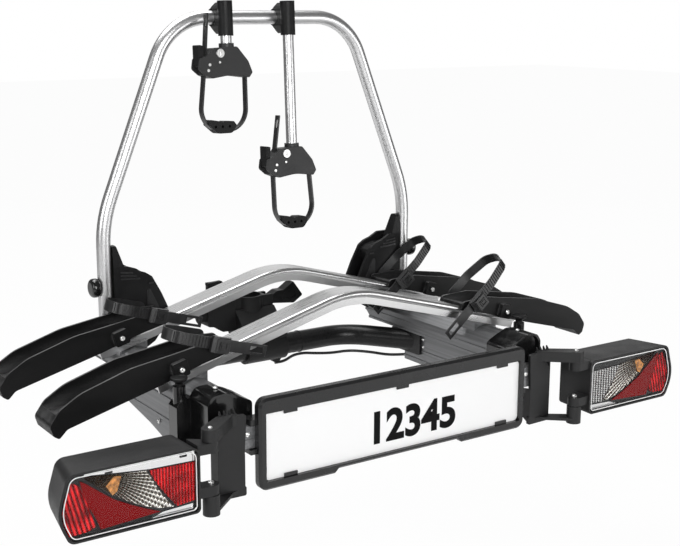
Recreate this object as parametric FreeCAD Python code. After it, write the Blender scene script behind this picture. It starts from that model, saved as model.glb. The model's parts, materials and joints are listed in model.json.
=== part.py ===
import FreeCAD, Part
import math
import os
from FreeCAD import Vector

# Carrier for two bicycles, carried behind a car on its towball.
# Millimetres. +X is to the right seen from behind the car, +Y points towards the car, +Z is up.
# Heights are drawn from the lower edge of the number plate and depths from its front face.
# The finished pieces are set down with the centre of the towball at the origin.

# Towball and coupling
ball_radius = 25.0
ball_y = 500.0
ball_z = 108.0
ball_clearance = 0.2
socket_depth = 16.0
socket_rise = 3.0
ball_passage_radius = 26.0
barrel_radius = 28.5
barrel_top_z = 164.0
barrel_pocket_depth = 24.0
barrel_lip = 3.0

# Main tube, bent to a U, and the knuckle that tilts on it
tube_radius = 20.5
tube_wall = 3.0
tube_y = 451.0
tube_z = 66.8
tube_bend_radius = 95.0
tube_bend_x = 196.0
tube_end_y = 345.0
tube_flange_thickness = 4.0
tube_ring_x = 84.0
knuckle_wall = 5.0
knuckle_left = -40.0
knuckle_right = 48.0
bush_wall = 1.5
shaft_clearance = 0.05

# Running gaps between pieces that move past each other, and between pieces that only meet
running_gap = 0.4
seat_gap = 0.3

# Number plate and its holder
plate_length = 520.0
plate_height = 110.0
plate_thickness = 1.2
holder_half_length = 272.0
holder_top_z = 134.5
holder_bottom_z = -14.5
holder_corner_radius = 15.0
holder_front_y = -6.0
holder_back_y = 9.0
holder_lip_half_length = 124.0
holder_lip_step = 7.0
holder_bevel = 4.0
clip_length = 12.0
clip_overlap = 6.0
clip_thickness = 2.0
top_clip_x = (-214.0, 3.0, 220.0)
bottom_clip_x = (-214.0, 220.0)

# Aluminium bar that carries the plate holder
light_bar_half_length = 322.0
light_bar_front_y = 9.3
light_bar_depth = 22.0
light_bar_bottom_z = 53.0
light_bar_height = 38.0
light_bar_wall = 2.5

# Side beams, aluminium extrusions along Y
beam_outer_x = 336.0
beam_crown_x = 304.0
beam_crown_z = 138.0
beam_shoulder_z = 106.0
beam_inner_x = 267.0
beam_ledge_z = 88.0
beam_foot_inner_x = 277.0
beam_rear_y = 50.0
beam_bottom_inner_z = 25.0
beam_bottom_outer_z = 27.0
beam_wall = 3.0
beam_rib_height = 1.4
beam_rib_width = 4.0
beam_foot_front_y = 352.0
plug_depth = 14.0
plug_bottom_z = 107.0

# End caps of the beams
cap_rear_y = light_bar_front_y + light_bar_depth + 0.3
cap_front_y = 90.0
cap_outer_x = 340.5
cap_inner_x = 263.0
cap_top_z = 142.0
cap_rear_bottom_z = 52.0
cap_rim = 4.0
cap_screw_x = 311.0
cap_screw_y = 62.0
cap_screw_radius = 4.5

# Rails that carry the bicycles, arched aluminium extrusions along X
rear_rail_y = 141.0
rail_pitch = 223.0
rail_width = 46.0
rail_crest_z = 241.7
rail_slope = 15.3
rail_crest_radius = 200.0
rail_half_length = 372.0
rail_bead_radius = 6.0
rail_top_rise = 5.0
rail_depth = 18.0
rail_wall = 2.2
rail_lip_depth = 5.0
rail_lip_thickness = 3.0
saddle_inner_x = 280.0
saddle_outer_x = 332.0
saddle_bottom_z = 116.0

# Wheel trays on the ends of the rails
tray_near_overhang = 11.0
tray_width = 65.0
tray_wall = 4.0
tray_floor = 4.0
tray_inner_x = 234.0
tray_tip_x = 552.0
tray_block_x = 337.5
tray_block_size = 26.0
tray_block_depth = 9.0
tray_bolt_radius = 5.0

# Wheel straps with ratchet buckles
strap_width = 19.0
strap_thickness = 2.4
strap_base_x = 268.0
strap_base_z = 191.0
strap_far_gap = 1.6
left_strap_lean = 16.0
left_strap_reach = 84.0
right_strap_lean = 40.0
right_strap_reach = 106.0
buckle_gap = 3.5
buckle_length = 34.0
buckle_width = 26.0
buckle_depth = 13.0
buckle_lever_length = 24.0
buckle_lever_thickness = 4.0

# Hoop that holds the bicycle frames
hoop_tube_radius = 12.5
hoop_tube_wall = 2.0
hoop_past_front_rail = 70.0
hoop_y = rear_rail_y + rail_pitch + hoop_past_front_rail
hoop_top_z = 697.0
hoop_top_half_width = 188.0
hoop_foot_half_width = 327.0
hoop_bend_z = 349.0
hoop_foot_z = 180.0
hoop_top_bend_radius = 107.0
hoop_side_bend_radius = 230.0
hoop_pivot_z = 233.0
hoop_stud_radius = 5.0
stud_reach = 30.0

# Hand knobs at the hoop's feet
knob_radius = 17.0
knob_thickness = 15.0

# Feet that carry the hoop on the beams
foot_near_y = hoop_y - 12.0
foot_far_y = hoop_y + 34.0
beam_front_y = foot_far_y + 6.0
foot_plate_thickness = 6.0
foot_post_top_z = 305.0

# Arms that hang from the hoop, their connectors and frame clamps
arm_radius = 10.0
arm_wall = 1.5
arm_offset_y = 29.0
arm_lean = 3.0
arm_top_rise = 19.0
connector_wall = 3.5
connector_drop = 33.0
connector_rise = 28.0
connector_half_width = 13.0
collar_wall = 3.0
short_arm_x = -93.0
short_clamp_z = 593.0
long_arm_x = 36.6
long_clamp_z = 409.0
short_loop_sway = -1.0
long_loop_sway = 1.0

# Frame clamp, measured from the arm's axis and the lower edge of the body
clamp_half_depth = 14.0
clamp_socket_depth = 34.0
clamp_lock_radius = 7.5
clamp_lock_x = -21.0
clamp_lock_z = 40.5
clamp_lock_length = 22.0
clamp_lock_proud = 3.0
clamp_lever_x = -58.5
clamp_lever_hinge_z = 20.0
clamp_lever_length = 34.0
clamp_lever_thickness = 6.0
clamp_lever_half_depth = 11.5
clamp_pin_radius = 2.0
clamp_strap_right_x = 35.0
clamp_strap_left_x = -45.0
clamp_loop_right_x = 39.0
clamp_loop_left_x = -51.0
clamp_loop_radius = 40.0
clamp_loop_bottom_z = -97.0
clamp_strap_half_width = 6.5
clamp_strap_thickness = 3.0
clamp_pad_half_length = 23.0
clamp_pad_top_z = -76.0
clamp_pad_half_width = 11.0

# Lamp brackets and the hinges of the lamps
bracket_plate_y = 3.0
bracket_plate_thickness = 6.0
bracket_rib_thickness = 3.0
bracket_wall_depth = 18.0
hinge_x = 370.0
hinge_y = -30.0
hinge_knuckle_radius = 13.0
hinge_pin_radius = 4.0
hinge_upper_z = 98.0
hinge_upper_top_z = 117.0
hinge_lower_bottom_z = -17.0
hinge_lower_top_z = 15.0
lamp_arm_thickness = 16.0

# Lamps
lamp_inner_x = 394.0
lamp_outer_x = 612.0
lamp_bottom_z = -4.0
lamp_top_z = 97.0
lamp_front_y = -44.0
lamp_back_y = 32.0
lamp_wall = 3.0
lens_thickness = 3.0
lens_setback = 1.5

# Pull knobs on the beam ends
pull_x = 352.0
pull_y = 102.5
pull_stem_radius = 6.5
pull_disc_radius = 14.0
pull_disc_thickness = 8.0
pull_disc_top_z = 159.0
pull_pin_radius = 3.5
pull_pin_bottom_z = 108.0
pull_guide_radius = 10.0
pull_box_half = 14.0
pull_guide_top_z = 143.0

# Clamp lever, jaw, lock knob and tilt lever of the coupling
clamp_pivot_x = 41.0
clamp_pivot_z = 149.0
clamp_pivot_radius = 4.0
clamp_eye_radius = 6.5
clamp_handle_end_x = 121.0
clamp_handle_half_depth = 11.0
coupling_wing_x = 48.0
coupling_housing_x = -100.0
coupling_half_depth = 16.0
jaw_half_width = 9.0
lock_knob_radius = 11.0
lock_stem_radius = 6.0
lock_knob_y = 490.0
lock_knob_z = 134.0
lock_knob_end_x = -116.0
tilt_lever_top_z = 198.0
tilt_lever_pivot_z = 122.0
tilt_lever_pin_radius = 3.0
tilt_lever_front_y = 501.0
tilt_lever_thickness = 8.0
tilt_lever_x0 = -88.0
tilt_lever_x1 = -54.0

# Electric cable along the main tube
cable_radius = 2.8


def place(piece):
    """Set a piece down with the towball's centre at the origin."""
    piece = piece.copy()
    piece.translate(Vector(0, -ball_y, -ball_z))
    return piece


def save(name, pieces):
    """Write one node. It holds one solid, or a group of separate ones."""
    solids = []
    for piece in pieces:
        solids.extend(place(piece).Solids)
    for solid in solids:
        if not solid.isValid():
            print("not valid:", name)
    shape = solids[0] if len(solids) == 1 else Part.makeCompound(solids)
    shape.exportStep("parts/" + name + ".step")


def turned(direction, length):
    """A vector of the given length along a direction."""
    return Vector(direction).normalize() * length


def rounded_corner(before, corner, after, radius):
    """Start, middle and end of the arc that rounds a corner."""
    back = turned(before - corner, 1)
    ahead = turned(after - corner, 1)
    half_angle = back.getAngle(ahead) / 2
    reach = radius / math.tan(half_angle)
    bisector = turned(back + ahead, 1)
    middle = corner + bisector * (radius / math.sin(half_angle) - radius)
    return corner + back * reach, middle, corner + ahead * reach


def joined_edges(stops):
    """Edges through a list of stops, each a point or the three points of an arc."""
    edges = []
    previous = None
    for stop in stops:
        first = stop[0]
        if previous is not None and (first - previous).Length > 1e-6:
            edges.append(Part.LineSegment(previous, first).toShape())
        if len(stop) == 3:
            edges.append(Part.Arc(stop[0], stop[1], stop[2]).toShape())
        previous = stop[-1]
    return edges


def route(points, radii):
    """Open wire of straight runs and tangent arcs. One radius for each inner point."""
    stops = [(points[0],)]
    for index, radius in enumerate(radii, start=1):
        if radius:
            stops.append(rounded_corner(points[index - 1], points[index], points[index + 1], radius))
        else:
            stops.append((points[index],))
    stops.append((points[-1],))
    return Part.Wire(joined_edges(stops))


def outline(points, radii=0):
    """Closed wire with rounded corners. radii is one value or one for each corner."""
    count = len(points)
    if not isinstance(radii, (list, tuple)):
        radii = [radii] * count
    stops = []
    for index in range(count):
        before = points[index - 1]
        after = points[(index + 1) % count]
        if radii[index]:
            stops.append(rounded_corner(before, points[index], after, radii[index]))
        else:
            stops.append((points[index],))
    stops.append((stops[0][0],))
    return Part.Wire(joined_edges(stops))


def plate_xz(points, y0, y1, radii=0):
    """Solid with an outline in x and z, from y0 to y1."""
    corners = [Vector(x, y0, z) for x, z in points]
    return Part.Face(outline(corners, radii)).extrude(Vector(0, y1 - y0, 0))


def plate_yz(points, x0, x1, radii=0):
    """Solid with an outline in y and z, from x0 to x1."""
    corners = [Vector(x0, y, z) for y, z in points]
    return Part.Face(outline(corners, radii)).extrude(Vector(x1 - x0, 0, 0))


def plate_xy(points, z0, z1, radii=0):
    """Solid with an outline in x and y, from z0 to z1."""
    corners = [Vector(x, y, z0) for x, y in points]
    return Part.Face(outline(corners, radii)).extrude(Vector(0, 0, z1 - z0))


def block(x0, x1, y0, y1, z0, z1):
    """Rectangular solid between two corners."""
    low = Vector(min(x0, x1), min(y0, y1), min(z0, z1))
    return Part.makeBox(abs(x1 - x0), abs(y1 - y0), abs(z1 - z0), low)


def rod(start, end, radius):
    """Round bar between two points."""
    return Part.makeCylinder(radius, (end - start).Length, start, end - start)


def pipe(path, radius):
    """Round bar along a wire."""
    start = path.OrderedVertexes[0].Point
    first = path.OrderedEdges[0]
    tangent = first.tangentAt(first.FirstParameter)
    if (first.valueAt(first.FirstParameter) - start).Length > 1e-6:
        tangent = first.tangentAt(first.LastParameter) * -1
    ring = Part.Wire(Part.Circle(start, tangent, radius).toShape())
    return path.makePipeShell([ring], True, False)


def band(path, thickness, width_vector):
    """Flat strap along a plane wire, as wide as the vector that is square to the plane."""
    edge = path.makeOffset2D(thickness / 2)
    face = Part.Face(edge)
    face.translate(width_vector * -0.5)
    return face.extrude(width_vector)


def fused(pieces):
    """One solid out of several that overlap."""
    return pieces[0].multiFuse(pieces[1:]).removeSplitter()


def mirrored(piece):
    """The same piece for the other side."""
    return piece.mirror(Vector(0, 0, 0), Vector(1, 0, 0))


def on_side(piece, side):
    """Pieces are drawn for the right side. side is 1 for right and -1 for left."""
    return piece if side > 0 else mirrored(piece)


def beam_envelope(gap):
    """Solid of the outline of both side beams, grown by a gap."""
    right = plate_xz(beam_profile(-gap), 0, beam_front_y + 10, [0, 18, 14, 20, 6, 3, 2, 2, 0])
    return Part.makeCompound([right, mirrored(right)])


def rail_bead_z(x):
    """Height of the bead's centre on the straight slope of a rail."""
    return rail_crest_z - math.tan(math.radians(rail_slope)) * abs(x)


def coupling_body():
    """Casting that grips the ball: barrel, wings, housing on the left and knuckle on the tube."""
    bottom_z = ball_z - socket_depth
    wing_top_z = barrel_top_z - 2
    barrel = rod(Vector(0, ball_y, bottom_z), Vector(0, ball_y, barrel_top_z), barrel_radius)
    brow = rod(Vector(0, ball_y, bottom_z), Vector(0, ball_y, bottom_z + 20), barrel_radius + 6)
    wings = plate_xz(
        [(-66, 108), (coupling_wing_x, 108), (coupling_wing_x, wing_top_z), (-66, wing_top_z)],
        ball_y - coupling_half_depth, ball_y + coupling_half_depth, 3)
    housing = plate_xz(
        [(coupling_housing_x, 116), (-86, 114), (-68, 102), (-40, 102), (-40, wing_top_z - 1),
         (-66, wing_top_z - 1), (coupling_housing_x, 148)],
        ball_y - 22, ball_y + 12, [4, 10, 8, 0, 0, 2, 5])
    bore_radius = tube_radius + bush_wall + shaft_clearance
    knuckle = rod(
        Vector(knuckle_left, tube_y, tube_z), Vector(knuckle_right, tube_y, tube_z),
        bore_radius + knuckle_wall)
    neck = plate_yz(
        [(tube_y - 14, tube_z), (tube_y + 20, tube_z), (ball_y + 10, bottom_z), (ball_y + 10, bottom_z + 30),
         (tube_y + 30, bottom_z + 50), (tube_y - 21, tube_z + 26)],
        knuckle_left, knuckle_right, [0, 0, 6, 0, 6, 6])
    foot = plate_xz(
        [(knuckle_right - 32, tube_z - 18), (knuckle_right, tube_z - 18), (knuckle_right - 9, tube_z - 32),
         (knuckle_right - 23, tube_z - 32)],
        tube_y - 6, tube_y + 6, [0, 0, 4, 4])
    body = fused([barrel, wings, housing, knuckle, neck, foot, brow])
    socket_radius = ball_radius + ball_clearance
    socket = rod(Vector(0, ball_y, bottom_z - 1), Vector(0, ball_y, ball_z + socket_rise), socket_radius)
    passage = rod(Vector(0, ball_y, 0), Vector(0, ball_y, bottom_z), ball_passage_radius)
    dome = Part.makeSphere(socket_radius, Vector(0, ball_y, ball_z))
    pocket = rod(
        Vector(0, ball_y, barrel_top_z - barrel_pocket_depth), Vector(0, ball_y, barrel_top_z + 1),
        barrel_radius - barrel_lip)
    tube_bore = rod(
        Vector(knuckle_left - 1, tube_y, tube_z), Vector(knuckle_right + 1, tube_y, tube_z), bore_radius)
    jaw_slot = block(
        ball_radius - 6, coupling_wing_x + 1, ball_y - jaw_half_width - running_gap,
        ball_y + jaw_half_width + running_gap, ball_z - 9, ball_z + 19)
    lever_slot = block(
        clamp_pivot_x - clamp_eye_radius - running_gap, coupling_wing_x + 1,
        ball_y - clamp_handle_half_depth - running_gap, ball_y + clamp_handle_half_depth + running_gap,
        ball_z + 8, barrel_top_z + 1)
    knob_bore = rod(
        Vector(coupling_housing_x - 1, lock_knob_y, lock_knob_z),
        Vector(coupling_housing_x + 14, lock_knob_y, lock_knob_z), lock_stem_radius + shaft_clearance)
    slot_x0 = tilt_lever_x0 + 4 - running_gap
    slot_x1 = tilt_lever_x1 - 4 + running_gap
    tilt_slot = block(
        slot_x0, slot_x1, tilt_lever_front_y - running_gap, ball_y + coupling_half_depth + 1, 90,
        barrel_top_z + 1)
    tilt_relief = block(
        slot_x0, slot_x1, tilt_lever_front_y - 4, ball_y + coupling_half_depth + 1, 90,
        tilt_lever_pivot_z + 3)
    tilt_bore = tilt_lever_pin(running_gap, shaft_clearance)
    cuts = [socket, passage, dome, pocket, tube_bore, jaw_slot, lever_slot, knob_bore, tilt_slot, tilt_relief,
            tilt_bore]
    pin = rod(
        Vector(clamp_pivot_x, ball_y - coupling_half_depth, clamp_pivot_z),
        Vector(clamp_pivot_x, ball_y + coupling_half_depth, clamp_pivot_z), clamp_pivot_radius)
    return body.cut(Part.makeCompound(cuts)).fuse(pin).removeSplitter()


def tilt_lever_pin(end_gap, radial_gap):
    """Trunnions of the tilt lever, grown for their bores."""
    y = tilt_lever_front_y + tilt_lever_thickness / 2
    return rod(
        Vector(tilt_lever_x0 - 0.5 - end_gap, y, tilt_lever_pivot_z),
        Vector(tilt_lever_x1 + 0.5 + end_gap, y, tilt_lever_pivot_z), tilt_lever_pin_radius + radial_gap)


def tilt_bushes():
    """Two plastic bushes between the main tube and the knuckle."""
    bushes = []
    for x0, x1 in ((knuckle_left, knuckle_left + 24), (knuckle_right - 24, knuckle_right)):
        start = Vector(x0, tube_y, tube_z)
        end = Vector(x1, tube_y, tube_z)
        outer = rod(start, end, tube_radius + bush_wall)
        bushes.append(outer.cut(rod(start, end, tube_radius + shaft_clearance)))
    return bushes


def coupling_jaw():
    """Block that the clamp lever presses against the ball."""
    back_x = clamp_pivot_x - clamp_eye_radius - 2 * running_gap
    jaw = block(
        ball_radius - 6 + running_gap, back_x, ball_y - jaw_half_width, ball_y + jaw_half_width,
        ball_z - 8, ball_z + 18)
    ball = Part.makeSphere(ball_radius + ball_clearance, Vector(0, ball_y, ball_z))
    way_in = rod(
        Vector(0, ball_y, 0), Vector(0, ball_y, ball_z + socket_rise), ball_radius + ball_clearance)
    return jaw.cut(Part.makeCompound([ball, way_in]))


def clamp_lever():
    """Handle with a cam at its pivot, lying to the right when it is closed."""
    x = clamp_pivot_x
    z = clamp_pivot_z
    y0 = ball_y - clamp_handle_half_depth
    y1 = ball_y + clamp_handle_half_depth
    eye = rod(Vector(x, y0, z), Vector(x, y1, z), clamp_eye_radius)
    handle = plate_xz(
        [(x, z - clamp_eye_radius), (100, 136), (clamp_handle_end_x, 150), (99, 180), (76, 165),
         (62, 165), (x + 3, z + 6)],
        y0, y1, [0, 4, 3, 2, 6, 6, 0])
    cam = plate_xz(
        [(x - clamp_eye_radius, z), (x - clamp_eye_radius + 0.4, 120), (x + 1, 120), (x + 6, z)],
        y0, y1, [0, 2, 3, 0])
    grip = plate_xz([(72, 148), (97, 146), (108, 153), (97, 167), (78, 159)], y0 - 1, y0 + 2, 3)
    bore = rod(Vector(x, y0 - 1, z), Vector(x, y1 + 1, z), clamp_pivot_radius + shaft_clearance)
    return fused([eye, handle, cam]).cut(Part.makeCompound([grip, bore]))


def lock_knob():
    """Knob with a key cylinder that locks the coupling."""
    y = lock_knob_y
    grip = rod(Vector(lock_knob_end_x, y, lock_knob_z),
               Vector(coupling_housing_x - running_gap, y, lock_knob_z), lock_knob_radius)
    stem = rod(Vector(coupling_housing_x - 2, y, lock_knob_z),
               Vector(coupling_housing_x + 13, y, lock_knob_z), lock_stem_radius)
    key_way = block(lock_knob_end_x - 1, lock_knob_end_x + 3, y - 1, y + 1, lock_knob_z - 5, lock_knob_z + 5)
    return fused([grip, stem]).cut(key_way)


def tilt_lever():
    """Upright lever behind the front rail that frees the tilt."""
    y0 = tilt_lever_front_y
    y1 = y0 + tilt_lever_thickness
    x0 = tilt_lever_x0
    x1 = tilt_lever_x1
    top_z = tilt_lever_top_z
    blade = plate_xz(
        [(x0 + 4, 116), (x1 - 4, 116), (x1 - 4, 168), (x1, 176), (x1, top_z), (x0, top_z - 2), (x0, 176),
         (x0 + 4, 168)],
        y0, y1, [3, 3, 4, 4, 5, 5, 4, 4])
    lip = block(x0 + 3, x1 - 3, y1 - 1, y1 + 7, top_z - 8, top_z - 3)
    return fused([blade, lip, tilt_lever_pin(0, 0)])


def main_tube():
    """Black steel tube bent to a U, with a flange on each end that lies against a beam."""
    face_x = beam_foot_inner_x - beam_rib_height - seat_gap
    slope = (tube_y - tube_end_y) / (face_x - tube_bend_x)
    beyond_x = face_x + tube_radius
    beyond_y = tube_end_y - slope * tube_radius

    def centre(x, y):
        return Vector(x, y, tube_z)

    path = route([centre(-beyond_x, beyond_y), centre(-tube_bend_x, tube_y), centre(tube_bend_x, tube_y),
                  centre(beyond_x, beyond_y)], [tube_bend_radius, tube_bend_radius])
    inside = block(-face_x, face_x, 0, tube_y + 2 * tube_radius, 0, 2 * tube_z)
    pieces = [pipe(path, tube_radius).common(inside)]
    bore = pipe(path, tube_radius - tube_wall)
    flange_x = face_x - tube_flange_thickness
    flange = plate_yz(
        [(tube_end_y - 48, tube_z - 22), (tube_end_y + 44, tube_z - 24), (tube_end_y + 44, beam_ledge_z - 3),
         (tube_end_y - 48, beam_ledge_z - 1)],
        flange_x, face_x, 4)
    pieces.append(flange)
    pieces.append(mirrored(flange))
    ring_start = Vector(tube_ring_x, tube_y, tube_z)
    pieces.append(rod(ring_start, ring_start + Vector(3, 0, 0), tube_radius + 1.2))
    return fused(pieces).cut(bore)


def beam_profile(inset):
    """Outline of a side beam for the right side, drawn inward by a wall."""
    return [
        (beam_outer_x - inset, beam_bottom_outer_z + inset),
        (beam_outer_x - inset, beam_shoulder_z + 8),
        (beam_outer_x - 8 - inset * 0.9, beam_crown_z - 8 - inset * 0.4),
        (beam_crown_x, beam_crown_z - inset),
        (286 + inset * 0.3, 132 - inset),
        (beam_inner_x + inset, 117 - inset * 0.5),
        (beam_inner_x + inset, beam_ledge_z + inset),
        (beam_foot_inner_x + inset, beam_ledge_z + inset),
        (beam_foot_inner_x + inset, beam_bottom_inner_z + inset)]


def side_beam(side):
    """Hollow extrusion with a round crown, lengthwise ribs and a cut front end."""
    radii = [0, 18, 14, 20, 6, 3, 2, 2, 0]
    outer = plate_xz(beam_profile(0), beam_rear_y - 5, beam_front_y + 5, radii)
    rib_y = cap_front_y + seat_gap
    ribs = []
    for z in (60, 97):
        ribs.append(block(beam_outer_x - 1, beam_outer_x + beam_rib_height, rib_y, beam_front_y,
                          z, z + beam_rib_width))
    for z in (88, 103):
        ribs.append(block(beam_inner_x - beam_rib_height, beam_inner_x + 1, rib_y, beam_front_y,
                          z, z + beam_rib_width))
    for z in (30, 50):
        ribs.append(block(beam_foot_inner_x - beam_rib_height, beam_foot_inner_x + 1, rib_y,
                          beam_front_y, z, z + beam_rib_width))
    inner_radii = [0, 15, 11, 17, 4, 2, 2, 2, 0]
    hollow = plate_xz(beam_profile(beam_wall), beam_rear_y - 6, beam_front_y + 6, inner_radii)
    shell = fused([outer] + ribs).cut(hollow)
    nose = plate_yz(
        [(beam_rear_y, 0), (beam_front_y - 22, 0), (beam_front_y - 12, 94), (beam_front_y, 104),
         (beam_front_y, 128), (beam_front_y - 6, beam_crown_z + 5), (beam_rear_y, beam_crown_z + 5)],
        beam_inner_x - 10, beam_outer_x + 10)
    beam = shell.common(nose)
    notch_x = beam_crown_x - 8
    notch = block(beam_inner_x - 5, notch_x, beam_foot_front_y, beam_front_y + 1, 0, beam_ledge_z)
    slant = plate_yz(
        [(196, 0), (196, 27), (246, 39), (331, 53), (beam_front_y - 82, 94), (beam_front_y - 62, 100),
         (beam_front_y + 1, 100), (beam_front_y + 1, 0)],
        notch_x, beam_outer_x + 10)
    return on_side(beam.cut(Part.makeCompound([notch, slant, cap_underside()])), side)


def beam_front_plugs():
    """Moulded plugs in the upper front ends of the two beams."""
    radii = [0, 15, 11, 17, 4, 2, 2, 2, 0]
    inset = beam_wall + seat_gap
    plug = plate_xz(beam_profile(inset), beam_front_y - plug_depth, beam_front_y + 3, radii)
    plug = plug.common(
        block(0, beam_outer_x + 10, 0, beam_front_y + 10, plug_bottom_z, beam_crown_z + 10))
    return [plug, mirrored(plug)]


def cap_underside():
    """Room below the slanted lower edge of an end cap and of the beam in it."""
    rear_y = cap_rear_y - 1
    front_y = cap_front_y + 2
    return plate_yz(
        [(rear_y, cap_rear_bottom_z), (cap_rear_y + 28, 40), (cap_front_y, 27), (front_y, 24), (front_y, 0),
         (rear_y, 0)],
        cap_inner_x - 5, cap_outer_x + 5)


def end_cap(side):
    """Black cap round the rear end of a beam, with a box on its outer side for the pull knob."""
    cap_points = [(cap_outer_x, 0), (cap_outer_x, 127), (332, 140), (308, cap_top_z), (283, 132),
                  (cap_inner_x, 122), (cap_inner_x, 0)]
    shell = plate_xz(cap_points, cap_rear_y, cap_front_y, [0, 12, 12, 16, 12, 8, 0])
    rim = cap_rim
    recess_points = [
        (cap_outer_x - rim, 0), (cap_outer_x - rim, 125), (329, 136), (308, cap_top_z - rim), (285, 128),
        (cap_inner_x + rim, 118), (cap_inner_x + rim, 0)]
    recess = plate_xz(recess_points, cap_rear_y - 1, cap_rear_y + 5, [0, 9, 9, 12, 9, 5, 0])
    shelf = plate_xz(
        [(cap_inner_x, cap_rear_bottom_z - 20), (cap_outer_x, cap_rear_bottom_z - 20),
         (cap_outer_x, cap_rear_bottom_z + rim), (cap_inner_x, cap_rear_bottom_z + rim)],
        cap_rear_y, cap_rear_y + 8)
    box_y0 = pull_y - pull_box_half
    box_y1 = pull_y + pull_box_half
    box_x0 = beam_outer_x + beam_rib_height + seat_gap
    box_x1 = pull_x + pull_box_half - 2
    box = plate_xz(
        [(box_x0, 40), (box_x1, 40), (box_x1, 112), (box_x1 - 6, 120), (box_x0, 126)],
        box_y0, box_y1, [0, 3, 3, 3, 0])
    guide = rod(Vector(pull_x, pull_y, 100), Vector(pull_x, pull_y, pull_guide_top_z), pull_guide_radius)
    screw = rod(
        Vector(cap_screw_x, cap_screw_y, cap_top_z - 3), Vector(cap_screw_x, cap_screw_y, cap_top_z + 1),
        cap_screw_radius)
    pin_bore = rod(
        Vector(pull_x, pull_y, pull_pin_bottom_z - 3), Vector(pull_x, pull_y, 200),
        pull_pin_radius + shaft_clearance)
    stem_bore = rod(
        Vector(pull_x, pull_y, pull_guide_top_z - 4), Vector(pull_x, pull_y, pull_guide_top_z + 1),
        pull_stem_radius + running_gap)
    beam_room = beam_envelope(seat_gap).common(block(-400, 400, beam_rear_y - seat_gap, 300, -50, 200))
    cap = fused([fused([shell.cut(recess), shelf]).cut(cap_underside()), box, guide])
    cap = cap.cut(Part.makeCompound([pin_bore, stem_bore, beam_room]))
    return on_side(fused([cap, screw]), side)


def pull_knob(side):
    """Mushroom knob on a stem with a locking pin."""
    x = pull_x
    neck_z = pull_disc_top_z - pull_disc_thickness
    stem_z = pull_guide_top_z - 4 + running_gap
    profile = [
        Vector(x, pull_y, pull_pin_bottom_z), Vector(x + pull_pin_radius, pull_y, pull_pin_bottom_z),
        Vector(x + pull_pin_radius, pull_y, stem_z), Vector(x + pull_stem_radius, pull_y, stem_z),
        Vector(x + pull_stem_radius, pull_y, neck_z - 3),
        Vector(x + pull_disc_radius, pull_y, neck_z + 2),
        Vector(x + pull_disc_radius, pull_y, pull_disc_top_z - 2),
        Vector(x, pull_y, pull_disc_top_z)]
    face = Part.Face(outline(profile, [0, 0, 0, 0, 3, 2, 2, 0]))
    return on_side(face.revolve(Vector(x, pull_y, 0), Vector(0, 0, 1), 360), side)


def rail_section(y, x, z):
    """Cross-section of a rail at a point of its bead, square to the slope there."""
    top = rail_top_rise
    bottom = rail_top_rise - rail_depth
    lip = bottom - rail_lip_depth

    def corner(dy, dz):
        return Vector(x, y + dy, z + dz)

    edge = [corner(0, top), corner(rail_width, top), corner(rail_width, bottom),
            corner(rail_lip_thickness - 1, bottom), corner(rail_lip_thickness - 1, lip), corner(-1, lip),
            corner(-1, 0)]
    return outline(edge, [0, 2, 2, 0, 0, 0, 0])


def rail(y):
    """Arched extrusion with a bead along its rear edge."""
    end_z = rail_bead_z(rail_half_length)
    points = [Vector(-rail_half_length, 0, end_z), Vector(0, 0, rail_crest_z),
              Vector(rail_half_length, 0, end_z)]
    spine = route(points, [rail_crest_radius])
    start = points[0]
    slope = Vector(0, 1, 0), -rail_slope

    def swept(wire):
        wire.rotate(Vector(start.x, 0, start.z), slope[0], slope[1])
        return spine.makePipeShell([wire], True, False)

    body = swept(rail_section(y, start.x, start.z))
    bead_circle = Part.Circle(Vector(start.x, y, start.z), Vector(1, 0, 0), rail_bead_radius)
    bead = swept(Part.Wire(bead_circle.toShape()))
    top = rail_top_rise - rail_wall
    bottom = rail_top_rise - rail_depth + rail_wall
    hollow_points = [
        Vector(start.x, y + rail_bead_radius + rail_wall, start.z + top),
        Vector(start.x, y + rail_width - rail_wall, start.z + top),
        Vector(start.x, y + rail_width - rail_wall, start.z + bottom),
        Vector(start.x, y + rail_bead_radius + rail_wall, start.z + bottom)]
    hollow = swept(outline(hollow_points))
    return fused([body, bead]).cut(Part.makeCompound([hollow, beam_envelope(seat_gap)]))


def rail_saddles():
    """Blocks that seat the rails on the crowns of the beams."""
    saddles = []
    for y in (rear_rail_y, rear_rail_y + rail_pitch):
        drop = (rail_depth - rail_top_rise) / math.cos(math.radians(rail_slope))
        points = [
            (saddle_inner_x, saddle_bottom_z), (saddle_inner_x, rail_bead_z(saddle_inner_x) - drop),
            (saddle_outer_x, rail_bead_z(saddle_outer_x) - drop), (saddle_outer_x, saddle_bottom_z)]
        saddle = plate_xz(points, y + rail_lip_thickness, y + rail_width - 2).cut(beam_envelope(seat_gap))
        for side in (-1, 1):
            saddles.append(on_side(saddle, side))
    return saddles


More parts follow.
